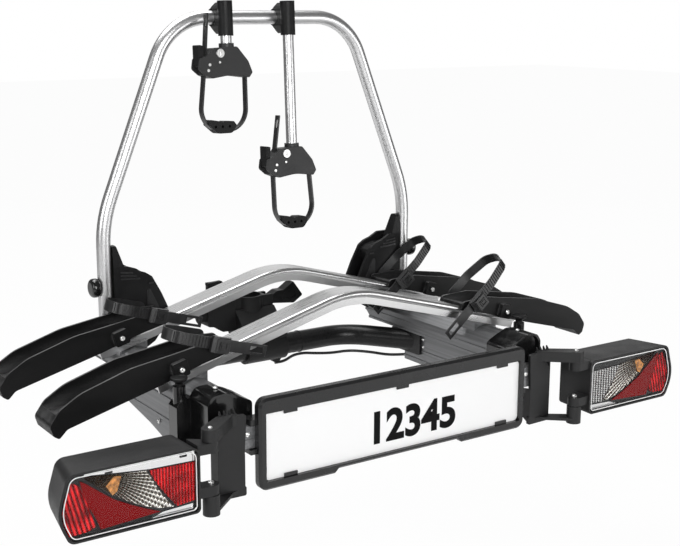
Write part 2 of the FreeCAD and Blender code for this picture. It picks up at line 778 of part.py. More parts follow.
def tray(side, rail_y):
    """Gutter for a wheel, with the block and bolt that hold it on the rail."""
    y0 = rail_y - tray_near_overhang
    y1 = y0 + tray_width
    roof = rail_bead_radius / math.cos(math.radians(rail_slope)) + seat_gap

    def floor_z(x):
        return rail_bead_z(x) + roof

    side_view = [
        (tray_inner_x, floor_z(tray_inner_x) - 8), (tray_inner_x + 6, 191), (300, 193), (335, 187),
        (420, 174), (503, 148), (536, 128), (tray_tip_x, 106), (tray_tip_x - 5, 90), (538, 84), (525, 97),
        (372, rail_bead_z(372) - 2), (tray_inner_x + 60, rail_bead_z(tray_inner_x + 60) + 1)]
    outer = plate_xz(side_view, y0, y1, [4, 8, 40, 60, 120, 80, 30, 10, 4, 4, 14, 20, 30])
    gutter_view = [
        (tray_inner_x - 5, floor_z(tray_inner_x) + tray_floor + 2), (300, floor_z(300) + tray_floor),
        (470, floor_z(470) + tray_floor), (526, 110), (552, 130), (552, 230), (tray_inner_x - 5, 230)]
    gutter = plate_xz(gutter_view, y0 + tray_wall, y1 - tray_wall, [0, 60, 60, 16, 0, 0, 0])
    under_view = [
        (tray_inner_x - 5, 60), (tray_inner_x - 5, floor_z(tray_inner_x - 5)), (450, floor_z(450)),
        (515, 99), (521, 60)]
    under = plate_xz(under_view, y0 + tray_wall, y1 - tray_wall, [0, 0, 30, 6, 0])
    block_z = rail_bead_z(tray_block_x) + 12
    half = tray_block_size / 2
    clamp = plate_xz(
        [(tray_block_x - half, block_z - half), (tray_block_x + half, block_z - half),
         (tray_block_x + half, block_z + half), (tray_block_x - half, block_z + half)],
        y0 - tray_block_depth, y0 + 1, 3)
    clamp.rotate(Vector(tray_block_x, y0, block_z), Vector(0, 1, 0), rail_slope)
    bolt = rod(
        Vector(tray_block_x, y0 - tray_block_depth - 1.5, block_z), Vector(tray_block_x, y0, block_z),
        tray_bolt_radius)
    body = fused([outer.cut(Part.makeCompound([gutter, under])), clamp, bolt])
    return on_side(body, side)


def strap_frame(lean):
    """Directions of a wheel strap's plane: along the strap's reach and square to the plane."""
    angle = math.radians(lean)
    reach = Vector(math.cos(angle), 0, math.sin(angle))
    across = Vector(-math.sin(angle), 0, math.cos(angle))
    return reach, across


def strap_point(base, reach, along, y):
    """Point of a strap's path, along its reach and at a depth."""
    return Vector(base.x, y, base.z) + reach * along


def wheel_strap(side, rail_y, lean, reach_length):
    """Loop of a wheel strap with its tail, and the ratchet buckle that holds it."""
    y0 = rail_y - tray_near_overhang
    near_y = y0 - buckle_gap
    far_y = y0 + tray_width + strap_far_gap
    reach, across = strap_frame(lean)
    base = Vector(strap_base_x, 0, strap_base_z)
    points = [
        strap_point(base, reach, -88, near_y - 2), strap_point(base, reach, 46, near_y),
        strap_point(base, reach, reach_length * 0.86, near_y + 9),
        strap_point(base, reach, reach_length, (near_y + far_y) / 2),
        strap_point(base, reach, reach_length * 0.86, far_y - 12),
        strap_point(base, reach, 46, far_y),
        strap_point(base, reach, 0, far_y)]
    loop = band(route(points, [60, 22, 22, 22, 60]), strap_thickness, across * strap_width)
    eye_points = [
        strap_point(base, reach, -83, near_y - 12), strap_point(base, reach, -58, near_y - 12),
        strap_point(base, reach, -58, near_y + 8), strap_point(base, reach, -83, near_y + 8)]
    eye = Part.Face(outline(eye_points))
    eye.translate(across * -5)
    pivot = strap_point(base, reach, 0, far_y)
    half_thickness = Vector(0, strap_thickness / 2, 0)
    end_disc = rod(pivot - half_thickness, pivot + half_thickness, strap_width / 2)
    loop = fused([loop.cut(eye.extrude(across * 10)), end_disc])
    half = buckle_length / 2
    frame_points = [
        strap_point(base, reach, -half, near_y - strap_thickness),
        strap_point(base, reach, half, near_y - strap_thickness),
        strap_point(base, reach, half, near_y - buckle_depth + 4),
        strap_point(base, reach, half - 8, near_y - buckle_depth),
        strap_point(base, reach, -half + 8, near_y - buckle_depth),
        strap_point(base, reach, -half, near_y - buckle_depth + 6)]
    frame = Part.Face(outline(frame_points, 1.5))
    frame.translate(across * (-buckle_width / 2))
    frame = frame.extrude(across * buckle_width)
    return [on_side(loop, side), on_side(frame, side)]


def buckle_lever(side, rail_y, lean):
    """Ratchet lever lying on the buckle."""
    y0 = rail_y - tray_near_overhang
    near_y = y0 - buckle_gap - buckle_depth - running_gap
    reach, across = strap_frame(lean)
    base = Vector(strap_base_x, 0, strap_base_z)
    half = buckle_lever_length / 2
    points = [
        strap_point(base, reach, -half, near_y), strap_point(base, reach, half, near_y),
        strap_point(base, reach, half, near_y - buckle_lever_thickness),
        strap_point(base, reach, -half, near_y - buckle_lever_thickness)]
    round_end = buckle_lever_thickness / 2
    face = Part.Face(outline(points, [1, round_end, round_end, 1]))
    face.translate(across * (-buckle_width / 2 + 2))
    return on_side(face.extrude(across * (buckle_width - 4)), side)


def hoop():
    """Bent aluminium tube."""
    def centre(x, z):
        return Vector(x, hoop_y, z)

    points = [
        centre(-hoop_foot_half_width, hoop_foot_z), centre(-hoop_foot_half_width, hoop_bend_z),
        centre(-hoop_top_half_width, hoop_top_z), centre(hoop_top_half_width, hoop_top_z),
        centre(hoop_foot_half_width, hoop_bend_z), centre(hoop_foot_half_width, hoop_foot_z)]
    radii = [hoop_side_bend_radius, hoop_top_bend_radius, hoop_top_bend_radius, hoop_side_bend_radius]
    path = route(points, radii)
    tube = pipe(path, hoop_tube_radius).cut(pipe(path, hoop_tube_radius - hoop_tube_wall))
    reach = hoop_foot_half_width + 30
    stud_hole = rod(
        Vector(-reach, hoop_y, hoop_pivot_z), Vector(reach, hoop_y, hoop_pivot_z),
        hoop_stud_radius + shaft_clearance)
    return tube.cut(stud_hole)


def hoop_foot(side):
    """Gusset on a beam that carries one foot of the hoop."""
    inner = hoop_foot_half_width - hoop_tube_radius - seat_gap
    gusset_points = [
        (inner - 110.2, 168), (inner - 91.2, 211), (inner - 73.2, 244), (inner - 61.2, 252),
        (inner - 46.2, 257), (inner - 27.2, 267), (inner, 267), (inner, 118), (inner - 52.2, 110),
        (inner - 76.2, 124)]
    radii = [4, 40, 10, 6, 8, 8, 0, 0, 0, 8]
    near = plate_xz(gusset_points, foot_near_y, foot_near_y + foot_plate_thickness, radii)
    far = plate_xz(gusset_points, foot_far_y - foot_plate_thickness, foot_far_y, radii)
    web_points = [(inner - 73.2, 236), (inner - 61.2, 244), (inner - 46.2, 249), (inner, 250),
                  (inner, 118), (inner - 48.2, 112)]
    web = plate_xz(web_points, foot_near_y + 4, foot_far_y - 4, [6, 6, 6, 0, 0, 0])
    cheek = plate_yz(
        [(foot_near_y, 150), (hoop_y + 20, 150), (hoop_y + 16, 260), (hoop_y + 10, foot_post_top_z),
         (hoop_y - 8, foot_post_top_z), (foot_near_y, 262)],
        inner - 22, inner, [0, 0, 20, 5, 5, 10])
    post_slant = plate_xz(
        [(inner - 30, 262), (inner - 22, 262), (inner - 6, foot_post_top_z + 4),
         (inner - 30, foot_post_top_z + 4)],
        hoop_y - 30, hoop_y + 30)
    stud_bore = rod(
        Vector(inner - stud_reach - 10, hoop_y, hoop_pivot_z), Vector(inner + 5, hoop_y, hoop_pivot_z),
        hoop_stud_radius + shaft_clearance)
    foot = fused([near, far, web, cheek.cut(post_slant)])
    return on_side(foot.cut(Part.makeCompound([beam_envelope(seat_gap), stud_bore])), side)


def hoop_knob(side):
    """Round knob with the stud that clamps one foot of the hoop."""
    start_x = hoop_foot_half_width + hoop_tube_radius + running_gap
    end_x = start_x + knob_thickness

    def along(x):
        return Vector(x, hoop_y, hoop_pivot_z)

    profile = [
        along(start_x), along(start_x) + Vector(0, 0, knob_radius), along(end_x) + Vector(0, 0, knob_radius),
        along(end_x)]
    face = Part.Face(outline(profile, [0, 4, 7, 0]))
    grip = face.revolve(along(0), Vector(1, 0, 0), 360)
    stud_end_x = hoop_foot_half_width - hoop_tube_radius - stud_reach
    stud = rod(along(stud_end_x), along(start_x + 2), hoop_stud_radius)
    return on_side(fused([grip, stud]), side)


def leaned(piece):
    """Swing a piece about the hoop's top bar, as the arms hang a little to the rear."""
    piece = piece.copy()
    piece.rotate(Vector(0, hoop_y, hoop_top_z), Vector(1, 0, 0), -arm_lean)
    return piece


def connector(x):
    """Upright barrel for an arm, with a collar round the hoop's top bar."""
    y = hoop_y - arm_offset_y
    bottom_z = hoop_top_z - connector_drop
    top_z = hoop_top_z + connector_rise
    barrel = rod(Vector(x, y, bottom_z), Vector(x, y, top_z), arm_radius + connector_wall)
    collar = rod(
        Vector(x - connector_half_width, hoop_y, hoop_top_z),
        Vector(x + connector_half_width, hoop_y, hoop_top_z), hoop_tube_radius + collar_wall)
    web = plate_xz(
        [(x - connector_half_width, hoop_top_z - 15), (x - connector_half_width, hoop_top_z + 14),
         (x - 8, hoop_top_z + 20), (x, hoop_top_z + 27), (x + 8, hoop_top_z + 20), (x + 8, hoop_top_z - 18),
         (x, hoop_top_z - 30), (x - 6, hoop_top_z - 24)],
        y, hoop_y + 4, [3, 3, 6, 2, 4, 4, 2, 6])
    body = fused([barrel, collar, web])
    bar_bore = rod(
        Vector(x - 30, hoop_y, hoop_top_z), Vector(x + 30, hoop_y, hoop_top_z),
        hoop_tube_radius + shaft_clearance)
    arm_bore = rod(
        Vector(x, y, bottom_z - 1), Vector(x, y, top_z + 1), arm_radius + shaft_clearance)
    return leaned(body.cut(Part.makeCompound([bar_bore, arm_bore])))


def arm(x, clamp_z):
    """Aluminium tube from the connector down into its frame clamp."""
    y = hoop_y - arm_offset_y
    bottom = Vector(x, y, clamp_z + 58 - clamp_socket_depth)
    top = Vector(x, y, hoop_top_z + arm_top_rise)
    return leaned(rod(bottom, top, arm_radius).cut(rod(bottom, top, arm_radius - arm_wall)))


def clamp_strap_path(x, z, sway):
    """Middle line of a clamp strap. A sway of 1 or -1 lets the loop hang to one side."""
    y = hoop_y - arm_offset_y

    def centre(dx, dz):
        return Vector(x + dx, y, z + dz)

    points = [centre(clamp_strap_right_x, 13), centre(clamp_loop_right_x + 5 * sway, clamp_loop_bottom_z),
              centre(clamp_loop_left_x + 10 * sway, clamp_loop_bottom_z),
              centre(clamp_strap_left_x + 2 * sway, 12), centre(clamp_strap_left_x + 12 + 5 * sway, 109)]
    return route(points, [clamp_loop_radius, clamp_loop_radius, 80])


def clamp_strap_band(x, z, sway, gap):
    """Ratchet strap of a frame clamp, grown by a gap on every side."""
    width = 2 * (clamp_strap_half_width + gap)
    return band(clamp_strap_path(x, z, sway), clamp_strap_thickness + 2 * gap, Vector(0, width, 0))


def clamp_strap(x, z, sway):
    """Ratchet strap that hangs as a loop, its tail standing up with a slotted end."""
    y = hoop_y - arm_offset_y
    slot = block(x - 50, x - 15, y - 3, y + 3, z + 88, z + 102)
    return leaned(clamp_strap_band(x, z, sway, 0).cut(slot))


def clamp_pad(x, z, sway):
    """Rubber pad that fills the bottom of the strap's loop."""
    y = hoop_y - arm_offset_y
    middle_x = x - 12 + 7.5 * sway
    bottom_z = z + clamp_loop_bottom_z
    top_z = z + clamp_pad_top_z
    half = clamp_pad_half_length
    pad = plate_xz(
        [(middle_x - half, top_z + 1), (middle_x - half - 6, bottom_z + 14),
         (middle_x - half + 14, bottom_z - 3), (middle_x + half - 4, bottom_z - 3),
         (middle_x + half + 6, bottom_z + 10), (middle_x + half, top_z - 3), (middle_x + 6, top_z - 2),
         (middle_x, top_z - 5), (middle_x - 6, top_z - 2)],
        y - clamp_pad_half_width, y + clamp_pad_half_width, [3, 4, 10, 10, 4, 3, 3, 3, 3])
    cells = []
    for offset in (-14, 0, 14):
        middle = Vector(middle_x + offset, y, top_z - 12)
        cells.append(rod(middle - Vector(0, 20, 0), middle + Vector(0, 20, 0), 2.5))
    cells.append(clamp_strap_band(x, z, sway, seat_gap))
    return leaned(pad.cut(Part.makeCompound(cells)))


def clamp_lever_piece(x, z):
    """Ratchet lever of a frame clamp, hinged between the two cheeks."""
    y = hoop_y - arm_offset_y
    hinge_x0 = x + clamp_lever_x
    hinge_z = z + clamp_lever_hinge_z
    half = clamp_lever_thickness / 2
    top_z = hinge_z + clamp_lever_length
    plate = plate_xz(
        [(hinge_x0 - half, hinge_z - half), (hinge_x0 + half, hinge_z - half), (hinge_x0 + half + 3, top_z),
         (hinge_x0 - half, top_z + 2)],
        y - clamp_lever_half_depth, y + clamp_lever_half_depth, [2.5, 2.5, 2, 2])
    bore = rod(
        Vector(hinge_x0, y - 20, hinge_z), Vector(hinge_x0, y + 20, hinge_z),
        clamp_pin_radius + shaft_clearance)
    return leaned(plate.cut(bore))


def clamp_lock(x, z):
    """Key cylinder of a frame clamp."""
    y = hoop_y - arm_offset_y
    start = y - clamp_half_depth - clamp_lock_proud
    centre_x = x + clamp_lock_x
    centre_z = z + clamp_lock_z
    barrel = rod(
        Vector(centre_x, start, centre_z),
        Vector(centre_x, start + clamp_lock_length, centre_z), clamp_lock_radius)
    key_way = block(centre_x - 1, centre_x + 1, start - 1, start + 3, centre_z - 4, centre_z + 4)
    return leaned(barrel.cut(key_way))


def clamp_body(x, z, sway):
    """Plastic jaw of a frame clamp, with a socket for the arm and a ratchet housing."""
    y = hoop_y - arm_offset_y
    points = [(-52, 3), (-37, -3), (-2, 2), (37, -3), (44, 6), (36, 26), (14, 52), (-33, 50), (-47, 36),
              (-62, 32), (-65, 14)]
    body = plate_xz(
        [(x + dx, z + dz) for dx, dz in points], y - clamp_half_depth, y + clamp_half_depth,
        [5, 6, 80, 3, 4, 14, 6, 4, 6, 4, 6])
    collar = rod(Vector(x, y, z + 46), Vector(x, y, z + 58), arm_radius + 3.5)
    socket = rod(
        Vector(x, y, z + 58 - clamp_socket_depth), Vector(x, y, z + 61), arm_radius + shaft_clearance)
    half_slot = clamp_lever_half_depth + running_gap
    lever_x = x + clamp_lever_x
    strap_slot = block(lever_x - 8, lever_x + 6, y - half_slot, y + half_slot, z - 5, z + 60)
    pin = rod(
        Vector(lever_x, y - clamp_half_depth, z + clamp_lever_hinge_z),
        Vector(lever_x, y + clamp_half_depth, z + clamp_lever_hinge_z), clamp_pin_radius)
    channel = clamp_strap_band(x, z, sway, seat_gap)
    lock_bore = rod(
        Vector(x + clamp_lock_x, y - clamp_half_depth - 1, z + clamp_lock_z),
        Vector(x + clamp_lock_x, y - clamp_half_depth + clamp_lock_length, z + clamp_lock_z),
        clamp_lock_radius + shaft_clearance)
    hollow = fused([body, collar]).cut(Part.makeCompound([socket, strap_slot, lock_bore, channel]))
    return leaned(hollow.fuse(pin).removeSplitter())


def light_bar():
    """Hollow aluminium bar between the two end caps."""
    x = light_bar_half_length
    y0 = light_bar_front_y
    y1 = y0 + light_bar_depth
    z0 = light_bar_bottom_z
    z1 = z0 + light_bar_height
    wall = light_bar_wall
    bar = plate_yz([(y0, z0), (y1, z0), (y1, z1), (y0, z1)], -x, x, 2)
    hollow = block(-x - 1, x + 1, y0 + wall, y1 - wall, z0 + wall, z1 - wall)
    groove = block(-x - 1, x + 1, y0 - 1, y0 + 1, z0 + 16, z1 - 16)
    return bar.cut(Part.makeCompound([hollow, groove]))


def holder_outline(inset, y):
    """Outer edge of the plate holder, drawn inward by a bevel."""
    step_x = holder_lip_half_length
    low = holder_bottom_z + inset
    high_low = low + holder_lip_step
    x = holder_half_length - inset
    top = holder_top_z - inset
    points = [(-x, top), (x, top), (x, low), (step_x + holder_lip_step, low), (step_x, high_low),
              (-step_x, high_low), (-step_x - holder_lip_step, low), (-x, low)]
    radius = holder_corner_radius - inset
    return outline([Vector(px, y, pz) for px, pz in points], [radius, radius, radius, 0, 0, 0, 0, radius])


def plate_clips(grow):
    """Tabs that hold the number plate, grown by a gap for their pockets."""
    clips = []
    top_z = plate_height
    for x in top_clip_x:
        clips.append(block(
            x - clip_length - grow, x + clip_length + grow, -clip_thickness - 1 - grow, -seat_gap + grow,
            top_z - clip_overlap - grow, top_z + clip_overlap + grow))
    for x in bottom_clip_x:
        clips.append(block(
            x - clip_length - grow, x + clip_length + grow, -clip_thickness - 1 - grow, -seat_gap + grow,
            -clip_overlap - grow, clip_overlap + grow))
    return clips


def plate_holder():
    """Moulded frame with a bevelled rim, a window for the plate and a hollow back."""
    bevel_y = holder_front_y + holder_bevel
    rim = Part.makeLoft(
        [holder_outline(holder_bevel, holder_front_y), holder_outline(0, bevel_y)], True, True)
    slab = Part.Face(holder_outline(0, bevel_y)).extrude(Vector(0, holder_back_y - bevel_y, 0))
    window = block(
        -plate_length / 2 - seat_gap, plate_length / 2 + seat_gap, holder_front_y - 1,
        plate_thickness + seat_gap, -seat_gap, plate_height + seat_gap)
    back = block(-holder_half_length + 6, holder_half_length - 6, 5, holder_back_y + 1, 2, holder_top_z - 6)
    pads = []
    for x in (-170, 0, 170):
        pads.append(block(x - 26, x + 26, 4, holder_back_y, light_bar_bottom_z - 8,
                          light_bar_bottom_z + light_bar_height + 8))
    frame = fused([rim, slab]).cut(Part.makeCompound([window, back]))
    bar_y1 = light_bar_front_y + light_bar_depth
    bar_z1 = light_bar_bottom_z + light_bar_height
    for side in (-1, 1):
        hook_x0 = side * (holder_half_length - 16)
        hook_x1 = side * (holder_half_length + 10)
        pads.append(block(hook_x0, hook_x1, 4, bar_y1 - 3, light_bar_bottom_z - 8,
                          light_bar_bottom_z - seat_gap))
        pads.append(block(hook_x0, hook_x1, 4, bar_y1 - 3, bar_z1 + seat_gap, bar_z1 + 10))
        pads.append(block(hook_x0, side * (holder_half_length - 1), 4, light_bar_front_y - seat_gap,
                          light_bar_bottom_z - 8, bar_z1 + 10))
    return fused([frame] + pads).cut(Part.makeCompound(plate_clips(seat_gap / 2)))


def number_plate():
    """Bare aluminium plate."""
    corners = [(-plate_length / 2, 0), (plate_length / 2, 0), (plate_length / 2, plate_height),
               (-plate_length / 2, plate_height)]
    return plate_xz(corners, 0, plate_thickness, 8)


def lamp_bracket(side):
    """Upright plate in front of an end cap with two arms that carry the lamp's hinge."""
    y0 = bracket_plate_y
    y1 = y0 + bracket_plate_thickness - seat_gap
    upright = plate_xz(
        [(290, 113), (317, 115), (338, 82), (339.5, 0), (339.5, -16), (291, -17), (291, -4), (296, 2)],
        y0, y1, [4, 4, 6, 0, 3, 3, 2, 6])
    arm_outline = [
        (306, y1), (339, y1), (hinge_x + 9, hinge_y + 9.5), (hinge_x - 9, hinge_y - 9.5), (316, y0 - 3),
        (306, y0)]
    upper = plate_xy(arm_outline, hinge_upper_z, hinge_upper_top_z, [0, 0, 0, 0, 8, 0])
    lower = plate_xy(arm_outline, hinge_lower_bottom_z + 6, lamp_bottom_z - 2, [0, 0, 0, 0, 8, 0])
    axis_low = Vector(hinge_x, hinge_y, hinge_lower_bottom_z)
    knuckles = [
        rod(Vector(hinge_x, hinge_y, hinge_upper_z), Vector(hinge_x, hinge_y, hinge_upper_top_z),
            hinge_knuckle_radius),
        rod(axis_low, Vector(hinge_x, hinge_y, hinge_lower_top_z), hinge_knuckle_radius)]
    ribs = []
    for step in range(4):
        x = 308 + 8 * step
        ribs.append(plate_yz(
            [(y0 - 2, hinge_upper_top_z - 2), (y1, hinge_upper_top_z - 2), (y1, 124)],
            x, x + bracket_rib_thickness))
    bore = rod(
        Vector(hinge_x, hinge_y, hinge_lower_bottom_z + 6), Vector(hinge_x, hinge_y, hinge_upper_top_z + 1),
        hinge_pin_radius + shaft_clearance)
    wall_y = y1 + bracket_wall_depth
    walls = [
        plate_yz([(y0, -16), (y1, -16), (wall_y, -4), (wall_y, 84), (y1, 98), (y0, 98)],
                 339.5 - bracket_rib_thickness, 339.5),
        plate_yz([(y0, -14), (y1, -14), (wall_y, -4), (wall_y, 46), (y0, 50)],
                 293, 293 + bracket_rib_thickness)]
    return on_side(fused([upright, upper, lower] + knuckles + ribs + walls).cut(bore), side)


def lamp_hinge_pins():
    """Four short pins, two in each lamp bracket."""
    pins = []
    for side in (-1, 1):
        x = side * hinge_x
        low_end = hinge_lower_top_z + lamp_arm_thickness - 1
        high_start = hinge_upper_z - lamp_arm_thickness + 1
        pins.append(rod(
            Vector(x, hinge_y, hinge_lower_bottom_z + 7), Vector(x, hinge_y, low_end), hinge_pin_radius))
        pins.append(rod(
            Vector(x, hinge_y, high_start), Vector(x, hinge_y, hinge_upper_top_z - 1), hinge_pin_radius))
    return pins


def lamp_outline(inset, taper, y):
    """Outline of a lamp at a depth. The taper draws its outer end and its top and bottom in."""
    x0 = lamp_inner_x + inset
    x1 = lamp_outer_x - inset - taper
    z0 = lamp_bottom_z + inset + taper * 0.15
    z1 = lamp_top_z - inset - taper * 0.15
    corners = [(x0, z0), (x1 - 16, z0), (x1 + 2, (z0 + z1) / 2 - 10), (x1 - 16, z1), (x0, z1)]
    radii = [8 - inset, 14 - inset, 60, 16 - inset, 13 - inset]
    return outline([Vector(x, y, z) for x, z in corners], radii)


def lamp_housing(side):
    """Moulded lamp body, open to the rear of the car, with the two arms of its hinge."""
    outer = Part.makeLoft([lamp_outline(0, 0, lamp_front_y), lamp_outline(0, 14, lamp_back_y)], True, True)
    inner = Part.makeLoft(
        [lamp_outline(lamp_wall, 0, lamp_front_y - 1), lamp_outline(lamp_wall, 14, lamp_back_y - lamp_wall)],
        True, True)
    pieces = [outer]
    for z0 in (hinge_lower_top_z + running_gap, hinge_upper_z - running_gap - lamp_arm_thickness):
        z1 = z0 + lamp_arm_thickness
        pieces.append(plate_xy(
            [(hinge_x, hinge_y - 12), (lamp_inner_x + 2, hinge_y - 10), (lamp_inner_x + 2, hinge_y + 26),
             (hinge_x + 8, hinge_y + 12), (hinge_x, hinge_y + 12)], z0, z1, [0, 0, 0, 5, 0]))
        pieces.append(rod(Vector(hinge_x, hinge_y, z0), Vector(hinge_x, hinge_y, z1), 12))
    bore = rod(
        Vector(hinge_x, hinge_y, -50), Vector(hinge_x, hinge_y, 150), hinge_pin_radius + shaft_clearance)
    return on_side(fused(pieces).cut(Part.makeCompound([inner, bore])), side)


def lamp_lens(side):
    """Clear and coloured cover in the mouth of a lamp."""
    y0 = lamp_front_y + lens_setback
    gap = lamp_wall + seat_gap
    cover = Part.makeLoft(
        [lamp_outline(gap, 0.3, y0), lamp_outline(gap, 0.9, y0 + lens_thickness)], True, True)
    return on_side(cover, side)


def cord_radii(points):
    """Bend radii that fill 0.45 of the shorter run beside each point."""
    radii = []
    for before, corner, after in zip(points, points[1:], points[2:]):
        run = min((corner - before).Length, (after - corner).Length)
        turn = (corner - before).getAngle(after - corner)
        radii.append(0.45 * run / math.tan(turn / 2))
    return radii


def cable():
    """Electric cable from the coupling along the tube into the right beam."""
    x_foot = knuckle_right - 16
    under_tube = tube_z - tube_radius - cable_radius
    points = [
        Vector(x_foot, tube_y, tube_z - 32 - cable_radius - 3 * seat_gap),
        Vector(x_foot + 22, tube_y + 1, under_tube - 13),
        Vector(x_foot + 42, tube_y, under_tube - 3.5), Vector(x_foot + 66, tube_y - 1, under_tube - 2.6),
        Vector(x_foot + 98, tube_y + 1, under_tube - 9), Vector(x_foot + 132, tube_y - 2, under_tube - 13),
        Vector(x_foot + 170, tube_y - 12, under_tube - 11),
        Vector(x_foot + 204, tube_y - 36, under_tube - 14),
        Vector(x_foot + 226, tube_y - 68, under_tube - 16),
        Vector(x_foot + 250, tube_y - 96, under_tube - 12),
        Vector(x_foot + 268, tube_y - 130, under_tube - 3)]
    return pipe(route(points, cord_radii(points)), cable_radius)


def build():
    """Make every piece and write its file."""
    os.makedirs("parts", exist_ok=True)
    save("coupling_body", [coupling_body()])
    save("tilt_bushes", tilt_bushes())
    save("coupling_jaw", [coupling_jaw()])
    save("coupling_clamp_lever", [clamp_lever()])
    save("coupling_lock_knob", [lock_knob()])
    save("tilt_lever", [tilt_lever()])
    save("main_tube", [main_tube()])
    save("beam_front_plugs", beam_front_plugs())
    save("rail_saddles", rail_saddles())
    save("hoop", [hoop()])
    save("light_bar", [light_bar()])
    save("plate_holder", [plate_holder()])
    save("number_plate", [number_plate()])
    save("plate_clips", plate_clips(0))
    save("lamp_hinge_pins", lamp_hinge_pins())
    save("cable", [cable()])
    for name, side in (("left", -1), ("right", 1)):
        save(name + "_beam", [side_beam(side)])
        save(name + "_end_cap", [end_cap(side)])
        save(name + "_pull_knob", [pull_knob(side)])
        save(name + "_hoop_foot", [hoop_foot(side)])
        save(name + "_hoop_knob", [hoop_knob(side)])
        save(name + "_lamp_bracket", [lamp_bracket(side)])
        save(name + "_lamp_housing", [lamp_housing(side)])
        save(name + "_lamp_lens", [lamp_lens(side)])
    for name, y in (("rear", rear_rail_y), ("front", rear_rail_y + rail_pitch)):
        save(name + "_rail", [rail(y)])
        for side_name, side, lean, length in (("left", -1, left_strap_lean, left_strap_reach),
                                              ("right", 1, right_strap_lean, right_strap_reach)):
            title = name + "_" + side_name
            save(title + "_tray", [tray(side, y)])
            save(title + "_wheel_strap", wheel_strap(side, y, lean, length))
            save(title + "_buckle_lever", [buckle_lever(side, y, lean)])
    for name, x, z, sway in (("short", short_arm_x, short_clamp_z, short_loop_sway),
                             ("long", long_arm_x, long_clamp_z, long_loop_sway)):
        save(name + "_arm_connector", [connector(x)])
        save(name + "_arm", [arm(x, z)])
        save(name + "_clamp_body", [clamp_body(x, z, sway)])
        save(name + "_clamp_strap", [clamp_strap(x, z, sway)])
        save(name + "_clamp_pad", [clamp_pad(x, z, sway)])
        save(name + "_clamp_lever", [clamp_lever_piece(x, z)])
        save(name + "_clamp_lock", [clamp_lock(x, z)])


build()
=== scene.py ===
# %% [markdown]
# A towball carrier for two bicycles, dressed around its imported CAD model.
# The CAD gives every rigid piece its exact place. This script adds finishes, light and
# the small things that the CAD leaves out, such as screws, strap teeth and lamp insides.

# %% Load the frame
import json
import math
import bmesh
import bpy
from mathutils import Euler, Matrix, Vector


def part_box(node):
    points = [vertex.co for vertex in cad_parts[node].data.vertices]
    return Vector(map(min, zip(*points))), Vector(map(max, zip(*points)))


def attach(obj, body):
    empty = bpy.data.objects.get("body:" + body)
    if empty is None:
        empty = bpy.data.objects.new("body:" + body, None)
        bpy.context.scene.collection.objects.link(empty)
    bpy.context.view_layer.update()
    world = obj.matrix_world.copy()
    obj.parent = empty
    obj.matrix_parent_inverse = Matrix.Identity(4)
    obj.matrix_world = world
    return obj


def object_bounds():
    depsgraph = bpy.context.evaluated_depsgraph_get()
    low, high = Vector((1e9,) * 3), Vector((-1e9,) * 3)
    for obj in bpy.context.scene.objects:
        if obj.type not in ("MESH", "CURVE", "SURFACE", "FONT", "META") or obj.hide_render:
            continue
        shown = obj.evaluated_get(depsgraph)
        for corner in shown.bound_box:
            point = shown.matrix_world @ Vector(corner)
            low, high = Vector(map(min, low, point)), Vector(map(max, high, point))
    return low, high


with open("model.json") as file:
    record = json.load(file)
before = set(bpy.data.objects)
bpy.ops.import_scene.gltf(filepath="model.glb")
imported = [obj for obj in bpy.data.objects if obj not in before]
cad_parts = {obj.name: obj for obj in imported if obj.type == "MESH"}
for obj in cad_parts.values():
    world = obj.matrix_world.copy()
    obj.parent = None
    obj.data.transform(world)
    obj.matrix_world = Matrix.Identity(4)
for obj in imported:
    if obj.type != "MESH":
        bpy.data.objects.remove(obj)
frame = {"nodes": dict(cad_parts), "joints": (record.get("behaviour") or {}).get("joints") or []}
cad_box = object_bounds()
nodes = frame["nodes"]

# %% [markdown]
# The carrier was measured from the lower edge of its number plate, in millimetres, while
# the model's origin is the centre of the towball in metres. One helper turns the first
# into the second, so that every number below can be checked with a ruler on the plate.
# Left and right are mirror images, so a side of -1 or 1 turns one into the other. The two
# arched rails are named by how far forward their middles lie.

# %% Places on the carrier
TOWBALL_Y = 500
TOWBALL_Z = 108
SIDES = (("left", -1), ("right", 1))
RAIL_Y = {"rear": 141, "front": 364}


def spot(x, y, z):
    """A place in millimetres from the plate's lower edge, in metres from the towball."""
    return Vector((x / 1000, (y - TOWBALL_Y) / 1000, (z - TOWBALL_Z) / 1000))


# %% [markdown]
# The camera stands behind the car, to the left of the carrier and a little above it.
# Its place, turn and lens were fitted to the four corners of the number plate, whose
# size is known, so the render can be laid over the photograph. A camera that isn't turned
# looks straight down, so 77.7 degrees about x makes it look 12.3 degrees below level.

# %% Camera
CAMERA_PLACE = (-1.16147, -2.02503, 0.60748)
CAMERA_TURN = (77.694, -0.1215, -33.831)      # degrees about x, y and z
camera_data = bpy.data.cameras.new("camera")
camera_data.lens = 64.46
camera_data.sensor_width = 36
camera_data.shift_x = 0.0133
camera_data.shift_y = -0.0004
camera = bpy.data.objects.new("camera", camera_data)
turn = Euler([math.radians(angle) for angle in CAMERA_TURN])
camera.matrix_world = Matrix.Translation(CAMERA_PLACE) @ turn.to_matrix().to_4x4()
bpy.context.scene.collection.objects.link(camera)
bpy.context.scene.camera = camera
print("camera stands", round(camera.location.length, 2), "m from the towball")

# %% [markdown]
# A finish starts as one Principled shader. Its even values, such as roughness, are set on
# the shader itself, because an export keeps those. Patterns are added afterwards by small
# helpers that all read Object coordinates: a finished piece sits at the origin, so these
# are real metres, and a pattern of a given scale is the same size on every piece.

